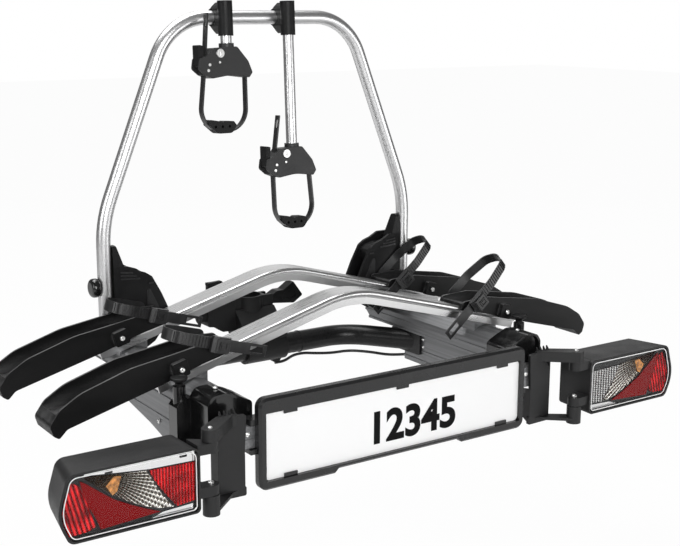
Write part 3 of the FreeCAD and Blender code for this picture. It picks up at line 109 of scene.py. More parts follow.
# %% Helpers for even finishes
def new_finish(name, colour, roughness, metallic=0.0, coat=0.0, shine=0.5):
    """A material with one Principled shader. Colours are linear. Plain plastic has a shine of 0.5."""
    finish = bpy.data.materials.new(name)
    finish.use_nodes = True
    shader = finish.node_tree.nodes["Principled BSDF"]
    shader.inputs["Base Color"].default_value = (*colour, 1)
    shader.inputs["Roughness"].default_value = roughness
    shader.inputs["Metallic"].default_value = metallic
    shader.inputs["Coat Weight"].default_value = coat
    shader.inputs["Coat Roughness"].default_value = 0.08
    shader.inputs["Specular IOR Level"].default_value = shine
    return finish


def shader_of(finish):
    """The Principled shader of a finish."""
    return finish.node_tree.nodes["Principled BSDF"]


def maths(finish, operation, first, second=None):
    """One Math node. An input is a number or a socket."""
    node = finish.node_tree.nodes.new("ShaderNodeMath")
    node.operation = operation
    for place, value in enumerate((first, second)):
        if value is None:
            continue
        if isinstance(value, (int, float)):
            node.inputs[place].default_value = value
        else:
            finish.node_tree.links.new(value, node.inputs[place])
    return node.outputs[0]


# %% [markdown]
# A pattern is noise or cells, remapped to the range that it should cover and linked to the
# colour or the roughness. Dust and a painted sheen come from a pattern that also asks where
# a face looks and how deep in a hollow it lies: faces that look up or lie in a hollow are
# painted paler, as light from above would make them. The last helper rounds edges and
# presses a pattern into the surface.

# %% Helpers for patterns
HOLLOW_REACH = 0.06
DEEP_HOLLOW = 0.35       # the share of the sky that a face sees from deep in a channel
OPEN_SURFACE = 0.75      # and from where no dust or sheen is painted any more


def pattern(finish, scale, stretch=(1, 1, 1), detail=3.0, kind="ShaderNodeTexNoise"):
    """A noise or cell pattern on the piece's own coordinates. Returns its output socket."""
    tree = finish.node_tree
    place = tree.nodes.new("ShaderNodeTexCoord")
    mapping = tree.nodes.new("ShaderNodeMapping")
    mapping.inputs["Scale"].default_value = stretch
    texture = tree.nodes.new(kind)
    texture.inputs["Scale"].default_value = scale
    if "Detail" in texture.inputs:
        texture.inputs["Detail"].default_value = detail
    tree.links.new(place.outputs["Object"], mapping.inputs["Vector"])
    tree.links.new(mapping.outputs["Vector"], texture.inputs["Vector"])
    return texture.outputs[0]


def remap(finish, socket, low, high, start=0.3, end=0.7):
    """Stretch a pattern's middle values over a range. Returns the new socket."""
    node = finish.node_tree.nodes.new("ShaderNodeMapRange")
    node.inputs["From Min"].default_value = start
    node.inputs["From Max"].default_value = end
    node.inputs["To Min"].default_value = low
    node.inputs["To Max"].default_value = high
    finish.node_tree.links.new(socket, node.inputs["Value"])
    return node.outputs["Result"]


def vary_roughness(finish, socket, low, high):
    """Let a pattern choose the roughness between two values."""
    rough = remap(finish, socket, low, high)
    finish.node_tree.links.new(rough, shader_of(finish).inputs["Roughness"])


def vary_colour(finish, socket, dark, light, start=0.3, end=0.7):
    """Mix two tones by a pattern."""
    tree = finish.node_tree
    mix = tree.nodes.new("ShaderNodeMix")
    mix.data_type = "RGBA"
    mix.inputs["A"].default_value = (*dark, 1)
    mix.inputs["B"].default_value = (*light, 1)
    tree.links.new(remap(finish, socket, 0, 1, start, end), mix.inputs["Factor"])
    colour_out = next(out for out in mix.outputs if out.type == "RGBA")
    tree.links.new(colour_out, shader_of(finish).inputs["Base Color"])


def dust_and_sheen(finish, socket, dark, light):
    """Dust and a painted sheen: faces that look up or lie in a hollow turn paler, and a pattern breaks
    it up.
    """
    tree = finish.node_tree
    facing = tree.nodes.new("ShaderNodeNewGeometry")
    split = tree.nodes.new("ShaderNodeSeparateXYZ")
    tree.links.new(facing.outputs["Normal"], split.inputs[0])
    hollow = tree.nodes.new("ShaderNodeAmbientOcclusion")
    hollow.samples = 8
    hollow.only_local = True
    hollow.inputs["Distance"].default_value = HOLLOW_REACH
    sheltered = remap(finish, hollow.outputs["AO"], 1.0, 0.0, DEEP_HOLLOW, OPEN_SURFACE)
    # Upward faces and deep hollows are painted paler: dust, and a painted sheen of light from above.
    dust_and_sheen_mask = maths(finish, "MAXIMUM", split.outputs["Z"], sheltered)
    blotches = maths(finish, "MULTIPLY", dust_and_sheen_mask, remap(finish, socket, 0.6, 1.0))
    vary_colour(finish, blotches, dark, light, 0.3, 0.95)


def soften(finish, edge_mm, socket=None, height_mm=0.0):
    """Round every edge by a small radius, and press a pattern into the surface."""
    tree = finish.node_tree
    edge = tree.nodes.new("ShaderNodeBevel")
    edge.samples = 4
    edge.inputs["Radius"].default_value = edge_mm / 1000
    normal = edge.outputs["Normal"]
    if socket is not None:
        bump = tree.nodes.new("ShaderNodeBump")
        bump.inputs["Strength"].default_value = 1.0
        bump.inputs["Distance"].default_value = height_mm / 1000
        tree.links.new(socket, bump.inputs["Height"])
        tree.links.new(normal, bump.inputs["Normal"])
        normal = bump.outputs["Normal"]
    tree.links.new(normal, shader_of(finish).inputs["Normal"])


# %% [markdown]
# Ribs are regular, so they come from a sine wave over a distance instead of from noise. A
# fan of ribs is the same wave over the angle round a point.

# %% Helpers for ribs
def axes_from(finish, centre):
    """Distances from a place along x and z, as two sockets."""
    tree = finish.node_tree
    place = tree.nodes.new("ShaderNodeTexCoord")
    split = tree.nodes.new("ShaderNodeSeparateXYZ")
    tree.links.new(place.outputs["Object"], split.inputs[0])
    return (maths(finish, "SUBTRACT", split.outputs["X"], centre.x),
            maths(finish, "SUBTRACT", split.outputs["Z"], centre.z))


def wave(finish, socket, turns_per_unit):
    """A sine between 0 and 1."""
    sine = maths(finish, "SINE", maths(finish, "MULTIPLY", socket, 2 * math.pi * turns_per_unit))
    return maths(finish, "MULTIPLY", maths(finish, "ADD", sine, 1.0), 0.5)


def straight_ribs(finish, pitch_mm, along=(1, 0)):
    """Ribs at an even pitch, counted along a direction in x and z."""
    across, height = axes_from(finish, Vector((0, 0, 0)))
    distance = maths(finish, "ADD", maths(finish, "MULTIPLY", across, along[0]),
                     maths(finish, "MULTIPLY", height, along[1]))
    return wave(finish, distance, 1000 / pitch_mm)


def fan_ribs(finish, centre, ribs_in_circle):
    """Ribs that spread from a place like a fan."""
    across, height = axes_from(finish, centre)
    angle = maths(finish, "ARCTAN2", height, across)
    return wave(finish, angle, ribs_in_circle / (2 * math.pi))


def distance_from(finish, centre):
    across, height = axes_from(finish, centre)
    return maths(finish, "SQRT", maths(finish, "ADD", maths(finish, "MULTIPLY", across, across),
                                       maths(finish, "MULTIPLY", height, height)))


# %% [markdown]
# The metals come first. The hoop, arms and rails are bright anodised aluminium with fine
# drawing marks along the extrusion, so their noise is stretched along the tube. The
# beams are a darker grey. The towing tube is steel with a satin black powder coat, whose
# surface has the faint ripple of orange peel. A finish is one call for its even values, a
# pattern, and a line for each thing that the pattern changes.

# %% Metals
rail_metal = new_finish("rail_aluminium", (0.70, 0.70, 0.70), 0.30, metallic=1.0)
streaks = pattern(rail_metal, 420, stretch=(0.015, 1, 0.2), detail=1)
vary_roughness(rail_metal, streaks, 0.26, 0.33)
soften(rail_metal, 0.6, streaks, 0.004)

hoop_metal = new_finish("hoop_aluminium", (0.78, 0.78, 0.785), 0.32, metallic=1.0)
fine = pattern(hoop_metal, 900, stretch=(1, 1, 0.25), detail=2)
vary_roughness(hoop_metal, fine, 0.27, 0.37)
soften(hoop_metal, 0.4, fine, 0.008)

beam_metal = new_finish("beam_aluminium", (0.26, 0.262, 0.268), 0.40, metallic=0.85)
draw_lines = pattern(beam_metal, 240, stretch=(1, 0.015, 1), detail=2)
vary_colour(beam_metal, draw_lines, (0.20, 0.202, 0.207), (0.29, 0.293, 0.30))
vary_roughness(beam_metal, draw_lines, 0.36, 0.48)
soften(beam_metal, 0.5, draw_lines, 0.03)

tube_paint = new_finish("tube_powder_coat", (0.007, 0.007, 0.0073), 0.28, shine=0.35)
ripple = pattern(tube_paint, 700, detail=2)
vary_roughness(tube_paint, ripple, 0.25, 0.36)
soften(tube_paint, 0.5, ripple, 0.03)

cast_paint = new_finish("cast_paint", (0.009, 0.009, 0.0094), 0.38, shine=0.3)
cast_skin = pattern(cast_paint, 420, detail=4)
vary_roughness(cast_paint, cast_skin, 0.34, 0.52)
soften(cast_paint, 1.0, cast_skin, 0.10)

zinc = new_finish("zinc_steel", (0.86, 0.86, 0.85), 0.34, metallic=0.9)
spangle = pattern(zinc, 300, detail=2)
vary_roughness(zinc, spangle, 0.28, 0.40)
soften(zinc, 0.3)

chrome = new_finish("lamp_chrome", (0.90, 0.90, 0.90), 0.09, metallic=1.0)
soften(chrome, 0.2)

# The rim is half matt white, a painted highlight, where chrome would mirror the dim world.
rim_painted_highlight = new_finish("rim_painted_highlight", (0.95, 0.95, 0.95), 0.35, metallic=0.6)
vary_roughness(rim_painted_highlight, pattern(rim_painted_highlight, 120, detail=2), 0.28, 0.42)

# %% [markdown]
# Most of what looks black is moulded plastic with a fine spark-eroded grain. The grain
# is two patterns: cells a fraction of a millimetre wide for the surface, and a slow noise
# that lets some places look drier than others, as handling does. The wheel trays also get
# dust and a painted sheen: their upward faces and the insides of their channels are painted
# paler, as light from above would make them. The end caps and knobs are polished instead, so
# they get a coat and no grain.

# %% Plastics and rubber
grained = new_finish("grained_plastic", (0.008, 0.008, 0.0083), 0.40, shine=0.22)
cells = pattern(grained, 1500, kind="ShaderNodeTexVoronoi")
handling = pattern(grained, 22, detail=3)
vary_colour(grained, handling, (0.005, 0.005, 0.0053), (0.010, 0.010, 0.0104))
vary_roughness(grained, handling, 0.34, 0.46)
soften(grained, 0.8, cells, 0.06)

tray_plastic = new_finish("tray_plastic", (0.008, 0.008, 0.0083), 0.42, shine=0.25)
tray_streaks = pattern(tray_plastic, 60, stretch=(0.15, 1, 1), detail=3)
# Dust and a painted sheen: upward faces and channel insides are painted paler.
dust_and_sheen(tray_plastic, tray_streaks, (0.004, 0.004, 0.0042), (0.120, 0.120, 0.121))
vary_roughness(tray_plastic, tray_streaks, 0.36, 0.48)
soften(tray_plastic, 1.0, pattern(tray_plastic, 1500, kind="ShaderNodeTexVoronoi"), 0.05)

polished = new_finish("polished_plastic", (0.005, 0.005, 0.0052), 0.18, coat=0.5)
flow = pattern(polished, 60, detail=2)
vary_roughness(polished, flow, 0.12, 0.22)
soften(polished, 0.8)

strap_plastic = new_finish("strap_plastic", (0.014, 0.014, 0.0145), 0.30, shine=0.6)
strap_wear = pattern(strap_plastic, 90, detail=3)
vary_colour(strap_plastic, strap_wear, (0.009, 0.009, 0.0095), (0.020, 0.020, 0.0205))
soften(strap_plastic, 0.4, pattern(strap_plastic, 1200, detail=1), 0.03)

clamp_plastic = new_finish("clamp_plastic", (0.024, 0.024, 0.0245), 0.42, shine=0.4)
clamp_grain = pattern(clamp_plastic, 1500, kind="ShaderNodeTexVoronoi")
vary_roughness(clamp_plastic, pattern(clamp_plastic, 40, detail=3), 0.36, 0.48)
soften(clamp_plastic, 0.8, clamp_grain, 0.06)

rubber = new_finish("pad_rubber", (0.010, 0.010, 0.010), 0.60, shine=0.25)
soften(rubber, 0.5, pattern(rubber, 900, detail=2), 0.08)

holder_plastic = new_finish("holder_plastic", (0.010, 0.010, 0.0104), 0.24, shine=0.6)
holder_grain = pattern(holder_plastic, 1300, kind="ShaderNodeTexVoronoi")
vary_roughness(holder_plastic, pattern(holder_plastic, 30, detail=2), 0.20, 0.30)
soften(holder_plastic, 0.8, holder_grain, 0.04)

lamp_black = new_finish("lamp_shell", (0.012, 0.012, 0.0124), 0.40, shine=0.4)
shell_grain = pattern(lamp_black, 1600, kind="ShaderNodeTexVoronoi")
vary_roughness(lamp_black, pattern(lamp_black, 26, detail=2), 0.42, 0.54)
soften(lamp_black, 1.2, shell_grain, 0.05)

cable_rubber = new_finish("cable_rubber", (0.016, 0.016, 0.017), 0.38)
soften(cable_rubber, 0.3, pattern(cable_rubber, 500, detail=2), 0.02)

plate_white = new_finish("plate_sheeting", (0.88, 0.88, 0.88), 0.40)
beads = pattern(plate_white, 1100, kind="ShaderNodeTexVoronoi")
vary_colour(plate_white, beads, (0.86, 0.86, 0.865), (0.90, 0.90, 0.90), 0.0, 0.8)

# %% [markdown]
# The lamps' covers are clear acrylic, and the blocks behind them are red and amber. The
# cover lets light through by its alpha and mirrors more at a low angle, as a thin clear
# sheet does. The coloured blocks aren't see-through, because a thick prism shows its own
# colour instead of what is behind it, and the bright ribs that it shows are painted into
# that colour as highlights.

# %% Clear cover
clear_cover = new_finish("clear_acrylic", (0.95, 0.96, 0.96), 0.03, metallic=1.0)
shader_of(clear_cover).inputs["Alpha"].default_value = 0.12
grazing = clear_cover.node_tree.nodes.new("ShaderNodeLayerWeight")
steep = maths(clear_cover, "POWER", grazing.outputs["Facing"], 4.0)
mirror = remap(clear_cover, steep, 0.006, 0.35, 0, 1)
clear_cover.node_tree.links.new(mirror, shader_of(clear_cover).inputs["Alpha"])

# %% [markdown]
# The red blocks show bright and dark ribs, and the light behind them is uneven. Both are
# painted into the colour: the wave of the ribs is multiplied by a slow noise before it
# chooses between a dark and a bright red, which paints highlights on the ribs and shade
# between them. The band between them is a dark mesh of cells, and the amber block is blotched.

# %% Coloured acrylic
red_lens = new_finish("red_acrylic", (0.42, 0.010, 0.012), 0.12, shine=0.2)
red_ribs = straight_ribs(red_lens, 5.0)
# Painted highlights on the ribs and painted shade between them, made uneven by a slow noise.
red_rib_highlights = maths(red_lens, "MULTIPLY", red_ribs,
                 remap(red_lens, pattern(red_lens, 55, detail=1), 0.25, 1.15))
vary_colour(red_lens, red_rib_highlights, (0.14, 0.002, 0.003), (0.80, 0.014, 0.018), 0.1, 0.9)
soften(red_lens, 0.3, red_ribs, 1.0)

streaked_lens = new_finish("streaked_red_acrylic", (0.40, 0.010, 0.012), 0.10, shine=0.2)
slanted_ribs = straight_ribs(streaked_lens, 7.0, along=(0.97, 0.25))
# Painted highlights on the slanted ribs and painted shade between them, made uneven by a slow noise.
streak_rib_highlights = maths(streaked_lens, "MULTIPLY", slanted_ribs,
                    remap(streaked_lens, pattern(streaked_lens, 45, detail=1), 0.15, 1.2))
vary_colour(streaked_lens, streak_rib_highlights, (0.10, 0.001, 0.002), (0.85, 0.018, 0.022), 0.1, 0.9)
soften(streaked_lens, 0.3, slanted_ribs, 1.4)

dark_red_lens = new_finish("dark_red_acrylic", (0.12, 0.003, 0.004), 0.25, shine=0.1)
mesh_cells = pattern(dark_red_lens, 420, kind="ShaderNodeTexVoronoi")
vary_colour(dark_red_lens, mesh_cells, (0.07, 0.001, 0.002), (0.19, 0.003, 0.004))
soften(dark_red_lens, 0.3, mesh_cells, 0.2)

amber_lens = new_finish("amber_acrylic", (0.60, 0.20, 0.02), 0.14, coat=0.3, shine=0.3)
vary_colour(amber_lens, pattern(amber_lens, 160, detail=2), (0.16, 0.07, 0.03), (0.80, 0.34, 0.08))
print("made", len(bpy.data.materials), "finishes")

# %% [markdown]
# Every CAD piece now gets its finish. A list of endings is easier to keep right than a
# finish for each of the sixty names, because left and right pieces share theirs. A piece
# that no ending fits, such as a foot of the hoop or a lever, is grained plastic.

# %% Finishes of the CAD pieces
FINISH_BY_ENDING = (
    ("rail", rail_metal), ("hoop", hoop_metal), ("_arm", hoop_metal),
    ("_beam", beam_metal), ("rail_saddles", beam_metal), ("light_bar", beam_metal),
    ("main_tube", tube_paint), ("coupling_body", cast_paint), ("coupling_jaw", zinc),
    ("lamp_hinge_pins", zinc), ("clamp_lock", zinc), ("_tray", tray_plastic),
    ("end_cap", polished), ("hoop_knob", polished), ("clamp_strap", strap_plastic),
    ("wheel_strap", strap_plastic), ("buckle_lever", strap_plastic), ("clamp_body", clamp_plastic),
    ("clamp_pad", rubber), ("plate_holder", holder_plastic), ("plate_clips", holder_plastic),
    ("number_plate", plate_white), ("cable", cable_rubber), ("lamp_bracket", lamp_black),
    ("lamp_housing", lamp_black), ("lamp_lens", clear_cover))
for node_name, piece in nodes.items():
    finish = grained
    for ending, candidate in FINISH_BY_ENDING:
        if node_name.endswith(ending):
            finish = candidate
    piece.data.materials.clear()
    piece.data.materials.append(finish)
print("finished", len(nodes), "CAD pieces")

# %% [markdown]
# New pieces are built with bmesh, the mesh editor's operators called from code. A helper
# turns a finished bmesh into an object that rides on a CAD body, with smooth shading that
# stops at edges sharper than 35 degrees. Two more add the simplest shapes, a round plug and
# a box, and a third reads from the frame where a CAD piece ends towards the viewer. From
# here on all helpers take lengths in millimetres, and their places come from spot.

# %% Helpers for new pieces
SMOOTH_BELOW = math.radians(35)


def finish_piece(builder, name, material, body):
    """Turn a bmesh into a piece that rides on a body."""
    bmesh.ops.recalc_face_normals(builder, faces=builder.faces)
    mesh = bpy.data.meshes.new(name)
    builder.to_mesh(mesh)
    builder.free()
    mesh.materials.append(material)
    for face in mesh.polygons:
        face.use_smooth = True
    mesh.set_sharp_from_angle(angle=SMOOTH_BELOW)
    piece = bpy.data.objects.new(name, mesh)
    bpy.context.scene.collection.objects.link(piece)
    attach(piece, body)


def add_disc(builder, centre, direction, radius, height, segments):
    """A round plug that stands on a point, along a direction. Returns its corners."""
    turn_to = Vector(direction).to_track_quat("Z", "Y").to_matrix().to_4x4()
    middle = centre + Vector(direction).normalized() * (height / 2000)
    return bmesh.ops.create_cone(
        builder, cap_ends=True, cap_tris=False, segments=segments, radius1=radius / 1000,
        radius2=radius / 1000, depth=height / 1000,
        matrix=Matrix.Translation(middle) @ turn_to)["verts"]


def add_bar(builder, centre, size, axes=None):
    """A box around a centre, along axes of its own if they are given."""
    matrix = Matrix.Translation(centre)
    if axes is not None:
        matrix = matrix @ axes.to_4x4()
    along, across, up = size
    bmesh.ops.create_cube(
        builder, size=1, matrix=matrix @ Matrix.Diagonal((along / 1000, across / 1000, up / 1000, 1)))


def near_face(node_name):
    """The y of a CAD piece's face nearest to the viewer, in millimetres from the plate."""
    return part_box(node_name)[0].y * 1000 + TOWBALL_Y


print("the light bar starts", round(near_face("light_bar"), 1), "mm beyond the plate's near face")

# %% [markdown]
# Bright screws are small, but they are what the eye uses to judge scale. A head is a disc
# whose top is inset twice: the first ring is lifted to a dome and the second one is sunk to
# a socket. All measures are shares of the radius, so one helper makes every size.

# %% Helper for screw heads
HEAD_HEIGHT = 0.55
HEAD_SEGMENTS = 20
DOME_EDGE = 0.28
DOME_RISE = 0.18
SOCKET_EDGE = 0.30
SOCKET_DEPTH = 0.45


def screw_head(builder, centre, direction, radius):
    """A domed screw head with a round socket."""
    direction = Vector(direction).normalized()
    rim = add_disc(builder, centre, direction, radius, radius * HEAD_HEIGHT, HEAD_SEGMENTS)
    top = [face for face in builder.faces
           if all(vert in rim for vert in face.verts) and face.normal.dot(direction) > 0.9]
    metres = radius / 1000
    bmesh.ops.inset_individual(builder, faces=top, thickness=metres * DOME_EDGE)
    bmesh.ops.translate(builder, verts=top[0].verts, vec=direction * metres * DOME_RISE)
    bmesh.ops.inset_individual(builder, faces=top, thickness=metres * SOCKET_EDGE)
    bmesh.ops.translate(builder, verts=top[0].verts, vec=-direction * metres * SOCKET_DEPTH)


# %% [markdown]
# The screws sit on the end caps, the lamp hinges, the light bar, the beams and the flanges
# where the tube meets them. They are listed for the right side, each with the way that it
# faces and its radius, and mirrored for the left. All that ride on one body share a mesh.

# %% Screws
PLATFORM_SCREWS = (
    ((311, 62, 142.6), (0, 0, 1), 3.6),      # on top of the end cap
    ((370, -30, 116.6), (0, 0, 1), 3.6),     # over the lamp's upper hinge
    ((285, 9.4, 78), (0, -1, 0), 4.0),       # in the light bar
    ((337.2, 208, 52), (1, 0, 0), 3.6),      # in the beam's outer face
    ((271.5, 354, 48), (-1, 0, 0), 3.0),     # in the tube's flange, the lower pair
    ((277, 292, 62), (-1, 0, 0), 2.6),
    ((271.5, 354, 63), (-1, 0, 0), 3.0),     # and the upper pair
    ((277, 292, 77), (-1, 0, 0), 2.6))
LOWER_HINGE = (370, -30, 31.2)
HINGE_SCREW_RADIUS = 4.6
BOLT_X = 337.5
BOLT_Z = 161.3
BOLT_SUNK = 0.3
BOLT_RADIUS = 4.2


def mirrored(side, place):
    """A place or direction of the right side, or its mirror image on the left."""
    x, y, z = place
    return side * x, y, z


screws = bmesh.new()
for name, side in SIDES:
    for place, direction, radius in PLATFORM_SCREWS:
        screw_head(screws, spot(*mirrored(side, place)), mirrored(side, direction), radius)
print("the platform's screws have", len(screws.faces), "faces")
finish_piece(screws, "platform_screws", zinc, "platform")

for name, side in SIDES:
    hinge_screw = bmesh.new()
    screw_head(hinge_screw, spot(*mirrored(side, LOWER_HINGE)), (0, 0, 1), HINGE_SCREW_RADIUS)
    finish_piece(hinge_screw, name + "_hinge_screw", zinc, name + "_lamp")
    for row in RAIL_Y:
        title = row + "_" + name + "_tray"
        tray_bolt = bmesh.new()
        bolt_spot = spot(side * BOLT_X, near_face(title) + BOLT_SUNK, BOLT_Z)
        screw_head(tray_bolt, bolt_spot, (0, -1, 0), BOLT_RADIUS)
        finish_piece(tray_bolt, title + "_bolt", zinc, title)

# %% [markdown]
# Straps and covers follow bent lines. One helper rounds the corners of a line, and a second
# one walks along it in even steps and gives a place and a direction at each step.

# %% Helpers for bent lines
ARC_STEPS = 8


def round_corners(places, radii):
    """The inner corners of a line, each turned into an arc."""
    rounded = []
    for before, corner, after, radius in zip(places, places[1:], places[2:], radii):
        back = (before - corner).normalized()
        ahead = (after - corner).normalized()
        half_angle = back.angle(ahead) / 2
        bend = radius / 1000
        centre = corner + (back + ahead).normalized() * (bend / math.sin(half_angle))
        reach = bend / math.tan(half_angle)
        first = (corner + back * reach - centre).normalized()
        last = (corner + ahead * reach - centre).normalized()
        for count in range(ARC_STEPS + 1):
            rounded.append(centre + first.slerp(last, count / ARC_STEPS).normalized() * bend)
    return rounded


def even_steps(line, step):
    """Places and directions at even steps along a line."""
    places = []
    gone = 0.0
    for start, end in zip(line, line[1:]):
        run = (end - start).length
        while gone < run:
            places.append((start + (end - start) * (gone / run), (end - start).normalized()))
            gone += step / 1000
        gone -= run
    return places


# %% [markdown]
# A wheel strap is a closed loop that leans outwards from its foot over the rail. Its near
# run carries the buckle, and its top reaches past the rail. Everything on it is placed by
# its distance from the foot, in the plane of the strap.

# %% Places on a wheel strap
STRAPS = (("left", -1, 16, 84), ("right", 1, 40, 106))      # lean in degrees and reach outwards
STRAP_FOOT_X = 268
STRAP_FOOT_Z = 191
NEAR_RUN = 14.5
TOP_PAST_RAIL = 20.55


def strap_spot(side, lean, along, y):
    """A place on the plane of a wheel strap, by its distance from the strap's foot."""
    return spot(side * (STRAP_FOOT_X + math.cos(lean) * along), y, STRAP_FOOT_Z + math.sin(lean) * along)


def across_strap(side, lean):
    """The direction across a strap's width."""
    return Vector((-side * math.sin(lean), 0, math.cos(lean)))


# %% [markdown]
# Each strap has teeth on its outer face, which the ratchet of the buckle grips. A tooth is
# a small bar across the strap. The line of the teeth starts above the buckle, bends twice
# and ends at the strap's top.

# %% Teeth of a wheel strap
TOOTH_PITCH = 5.5
TOOTH_SIZE = (2.6, 16.5, 1.8)
TOOTH_LIFT = 1.8
TEETH_START = 19
FIRST_BEND = 46
SHOULDER = 0.86          # the second bend, as a share of the reach
SHOULDER_SHIFT = 9
BEND_RADII = (60, 22)


def strap_teeth(title, side, lean, reach, rail_y):
    """The teeth of one strap as a piece. Returns how many there are."""
    near_y = rail_y - NEAR_RUN
    corners = [strap_spot(side, lean, TEETH_START, near_y),
               strap_spot(side, lean, FIRST_BEND, near_y),
               strap_spot(side, lean, reach * SHOULDER, near_y + SHOULDER_SHIFT),
               strap_spot(side, lean, reach, rail_y + TOP_PAST_RAIL)]
    steps = even_steps([corners[0]] + round_corners(corners, BEND_RADII), TOOTH_PITCH)
    across = across_strap(side, lean)
    teeth = bmesh.new()
    for place, direction in steps:
        outward = direction.cross(across)
        if outward.y > 0:
            outward = -outward
        axes = Matrix((direction, across, outward)).transposed()
        add_bar(teeth, place + outward * (TOOTH_LIFT / 1000), TOOTH_SIZE, axes)
    finish_piece(teeth, title + "_strap_teeth", strap_plastic, title + "_wheel_strap")
    return len(steps)


# %% [markdown]
# The buckle's lever carries a framed button: four bars round a flat pad. They stand on the
# lever's near face, whose place comes from the frame.

# %% Buttons of the buckle levers
BUTTON_MIDDLE = 1
BUTTON_PROUD = 0.5
BUTTON_PARTS = (
    (-6, 0, (1.6, 12, 1.6)),      # shifts along and across the strap, and the size
    (6, 0, (1.6, 12, 1.6)),
    (0, -5.2, (12, 1.6, 1.6)),
    (0, 5.2, (12, 1.6, 1.6)),
    (0, 0, (7, 5.6, 1)))


def buckle_button(title, side, lean):
    """The framed button of one buckle lever, as a piece."""
    lever = title + "_buckle_lever"
    across = across_strap(side, lean)
    along_strap = Vector((side * math.cos(lean), 0, math.sin(lean)))
    axes = Matrix((along_strap, across, Vector((0, -1, 0)))).transposed()
    button = bmesh.new()
    for shift_along, shift_across, size in BUTTON_PARTS:
        centre = strap_spot(side, lean, BUTTON_MIDDLE + shift_along, near_face(lever) - BUTTON_PROUD)
        add_bar(button, centre + across * (shift_across / 1000), size, axes)
    finish_piece(button, title + "_buckle_button", strap_plastic, lever)


tooth_count = 0
for row, rail_y in RAIL_Y.items():
    for name, side, lean, reach in STRAPS:
        tooth_count += strap_teeth(row + "_" + name, side, math.radians(lean), reach, rail_y)
        buckle_button(row + "_" + name, side, math.radians(lean))
print("made", tooth_count, "strap teeth")

# %% [markdown]
# The frame clamps hang from the hoop and lean back by three degrees. Their bright rivets
# are placed as if the clamps hung straight and are then turned by that angle about the
# hoop's top bar.

# %% Rivets of the frame clamps
TOP_BAR = spot(0, 434, 697)
CLAMPS = (("short", -93, 593), ("long", 36.6, 409))
RIVETS = ((-22, 25, 2.1), (-42, 21, 2.6), (-45, 11, 2.6))      # shifts in x and z, and radius
RIVET_Y = 391.2
RIVET_HEIGHT = 1
lean_back = Matrix.Translation(TOP_BAR) @ Matrix.Rotation(math.radians(-3), 4, "X")
lean_back = lean_back @ Matrix.Translation(-TOP_BAR)
for name, x, z in CLAMPS:
    rivets = bmesh.new()
    for shift_x, shift_z, radius in RIVETS:
        place = spot(x + shift_x, RIVET_Y, z + shift_z)
        add_disc(rivets, place, (0, -1, 0), radius, RIVET_HEIGHT, segments=16)
    bmesh.ops.transform(rivets, matrix=lean_back, verts=rivets.verts)
    finish_piece(rivets, name + "_clamp_rivets", zinc, name + "_arm")
print("riveted", len(CLAMPS), "clamps")

# %% [markdown]
# The lamps' insides and the panels on the feet are flat shapes. A bmesh can fill a ring of
# corners with one face, and extruding that face towards the viewer gives it a thickness.
# Rounding the ring first gives the soft corners of a moulding.

# %% Helpers for flat shapes
def rounded_ring(corners, radii):
    """A closed ring with all its corners rounded."""
    return round_corners([corners[-1]] + corners + [corners[0]], radii)


def fill_ring(builder, corners):
    """One face inside a ring of corners."""
    ring = [builder.verts.new(corner) for corner in corners]
    return bmesh.ops.contextual_create(builder, geom=ring)["faces"][0]


def thicken(builder, faces, thickness):
    """Extrude faces towards the viewer."""
    grown = bmesh.ops.extrude_face_region(builder, geom=faces)["geom"]
    moved = [item for item in grown if isinstance(item, bmesh.types.BMVert)]
    bmesh.ops.translate(builder, verts=moved, vec=(0, -thickness / 1000, 0))


def add_slab(builder, side, outline, y, thickness, corner_radius=0.0):
    """A flat plate with an outline in x and z whose far face lies at y."""
    corners = [spot(side * x, y, z) for x, z in outline]
    if corner_radius:
        corners = rounded_ring(corners, [corner_radius] * len(corners))
    thicken(builder, [fill_ring(builder, corners)], thickness)


# %% [markdown]
# The inside of each lamp is layered as in the real one: a tray at the back, a chromed fan
# and blocks of coloured acrylic before it, and a rim where the cover is welded on, painted
# pale as the highlight that its chrome catches.
# The outlines are in x and z, measured on the left lamp and counted outwards. Each layer
# has the y of its far face, and a smaller y lies nearer to the viewer.

# %% Outlines inside a lamp
BACK_TRAY = [(397.5, -0.5), (592, -0.5), (609, 37), (592, 93.5), (397.5, 93.5)]
RIM = [(399.5, 1.5), (591, 1.5), (607, 37), (591, 91.5), (399.5, 91.5)]
INNER_BLOCK = [(400, 74), (472, 76), (466, 63), (454, 44), (438, 23), (430, 13), (401, 16)]
TOP_STRIP = [(400, 76), (472, 78), (528, 84), (569, 89), (569, 91), (400, 91)]
FAN = [(477, 77), (528, 82), (572, 88), (562, 78), (548, 67), (526, 51), (504, 36), (480, 24),
       (458, 16), (435, 13), (446, 26), (458, 44), (469, 65)]
BAND = [(576, 83), (568, 78), (548, 62), (526, 45), (504, 33), (480, 21), (457, 11), (548, 6),
        (554, 22), (564, 42), (572, 63)]
OUTER_BLOCK = [(588, 83), (577, 76), (566, 47), (555, 12), (568, 7), (594, 6), (602, 24), (603, 41),
               (598, 62)]
AMBER = [(538, 67), (525, 79), (515, 77), (522, 56), (529, 52)]
FOOT_STRIP = [(404, 3), (470, 3), (452, 9), (404, 11)]
TRAY_Y = -34.0
CHROME_Y = -36.0
BLOCK_Y = -36.8
BAND_Y = -37.2
AMBER_Y = -37.4

# %% [markdown]
# Two finishes belong to these insides alone. The fan is chromed, with ribs that spread from
# its outer top corner and rings across them, and it is darker near that corner. The light
# and dark of its ribs and rings are painted into its colour, as highlights and shade. The
# right lamp's inner block is clear, so it shows a grid of ribs in both directions, painted
# into its colour as bright highlights and dark shade.

# %% Finishes inside a lamp
FAN_CENTRE = (548, 0, 84)
FAN_RIBS_IN_CIRCLE = 96
FAN_RING_PITCH = 6.5


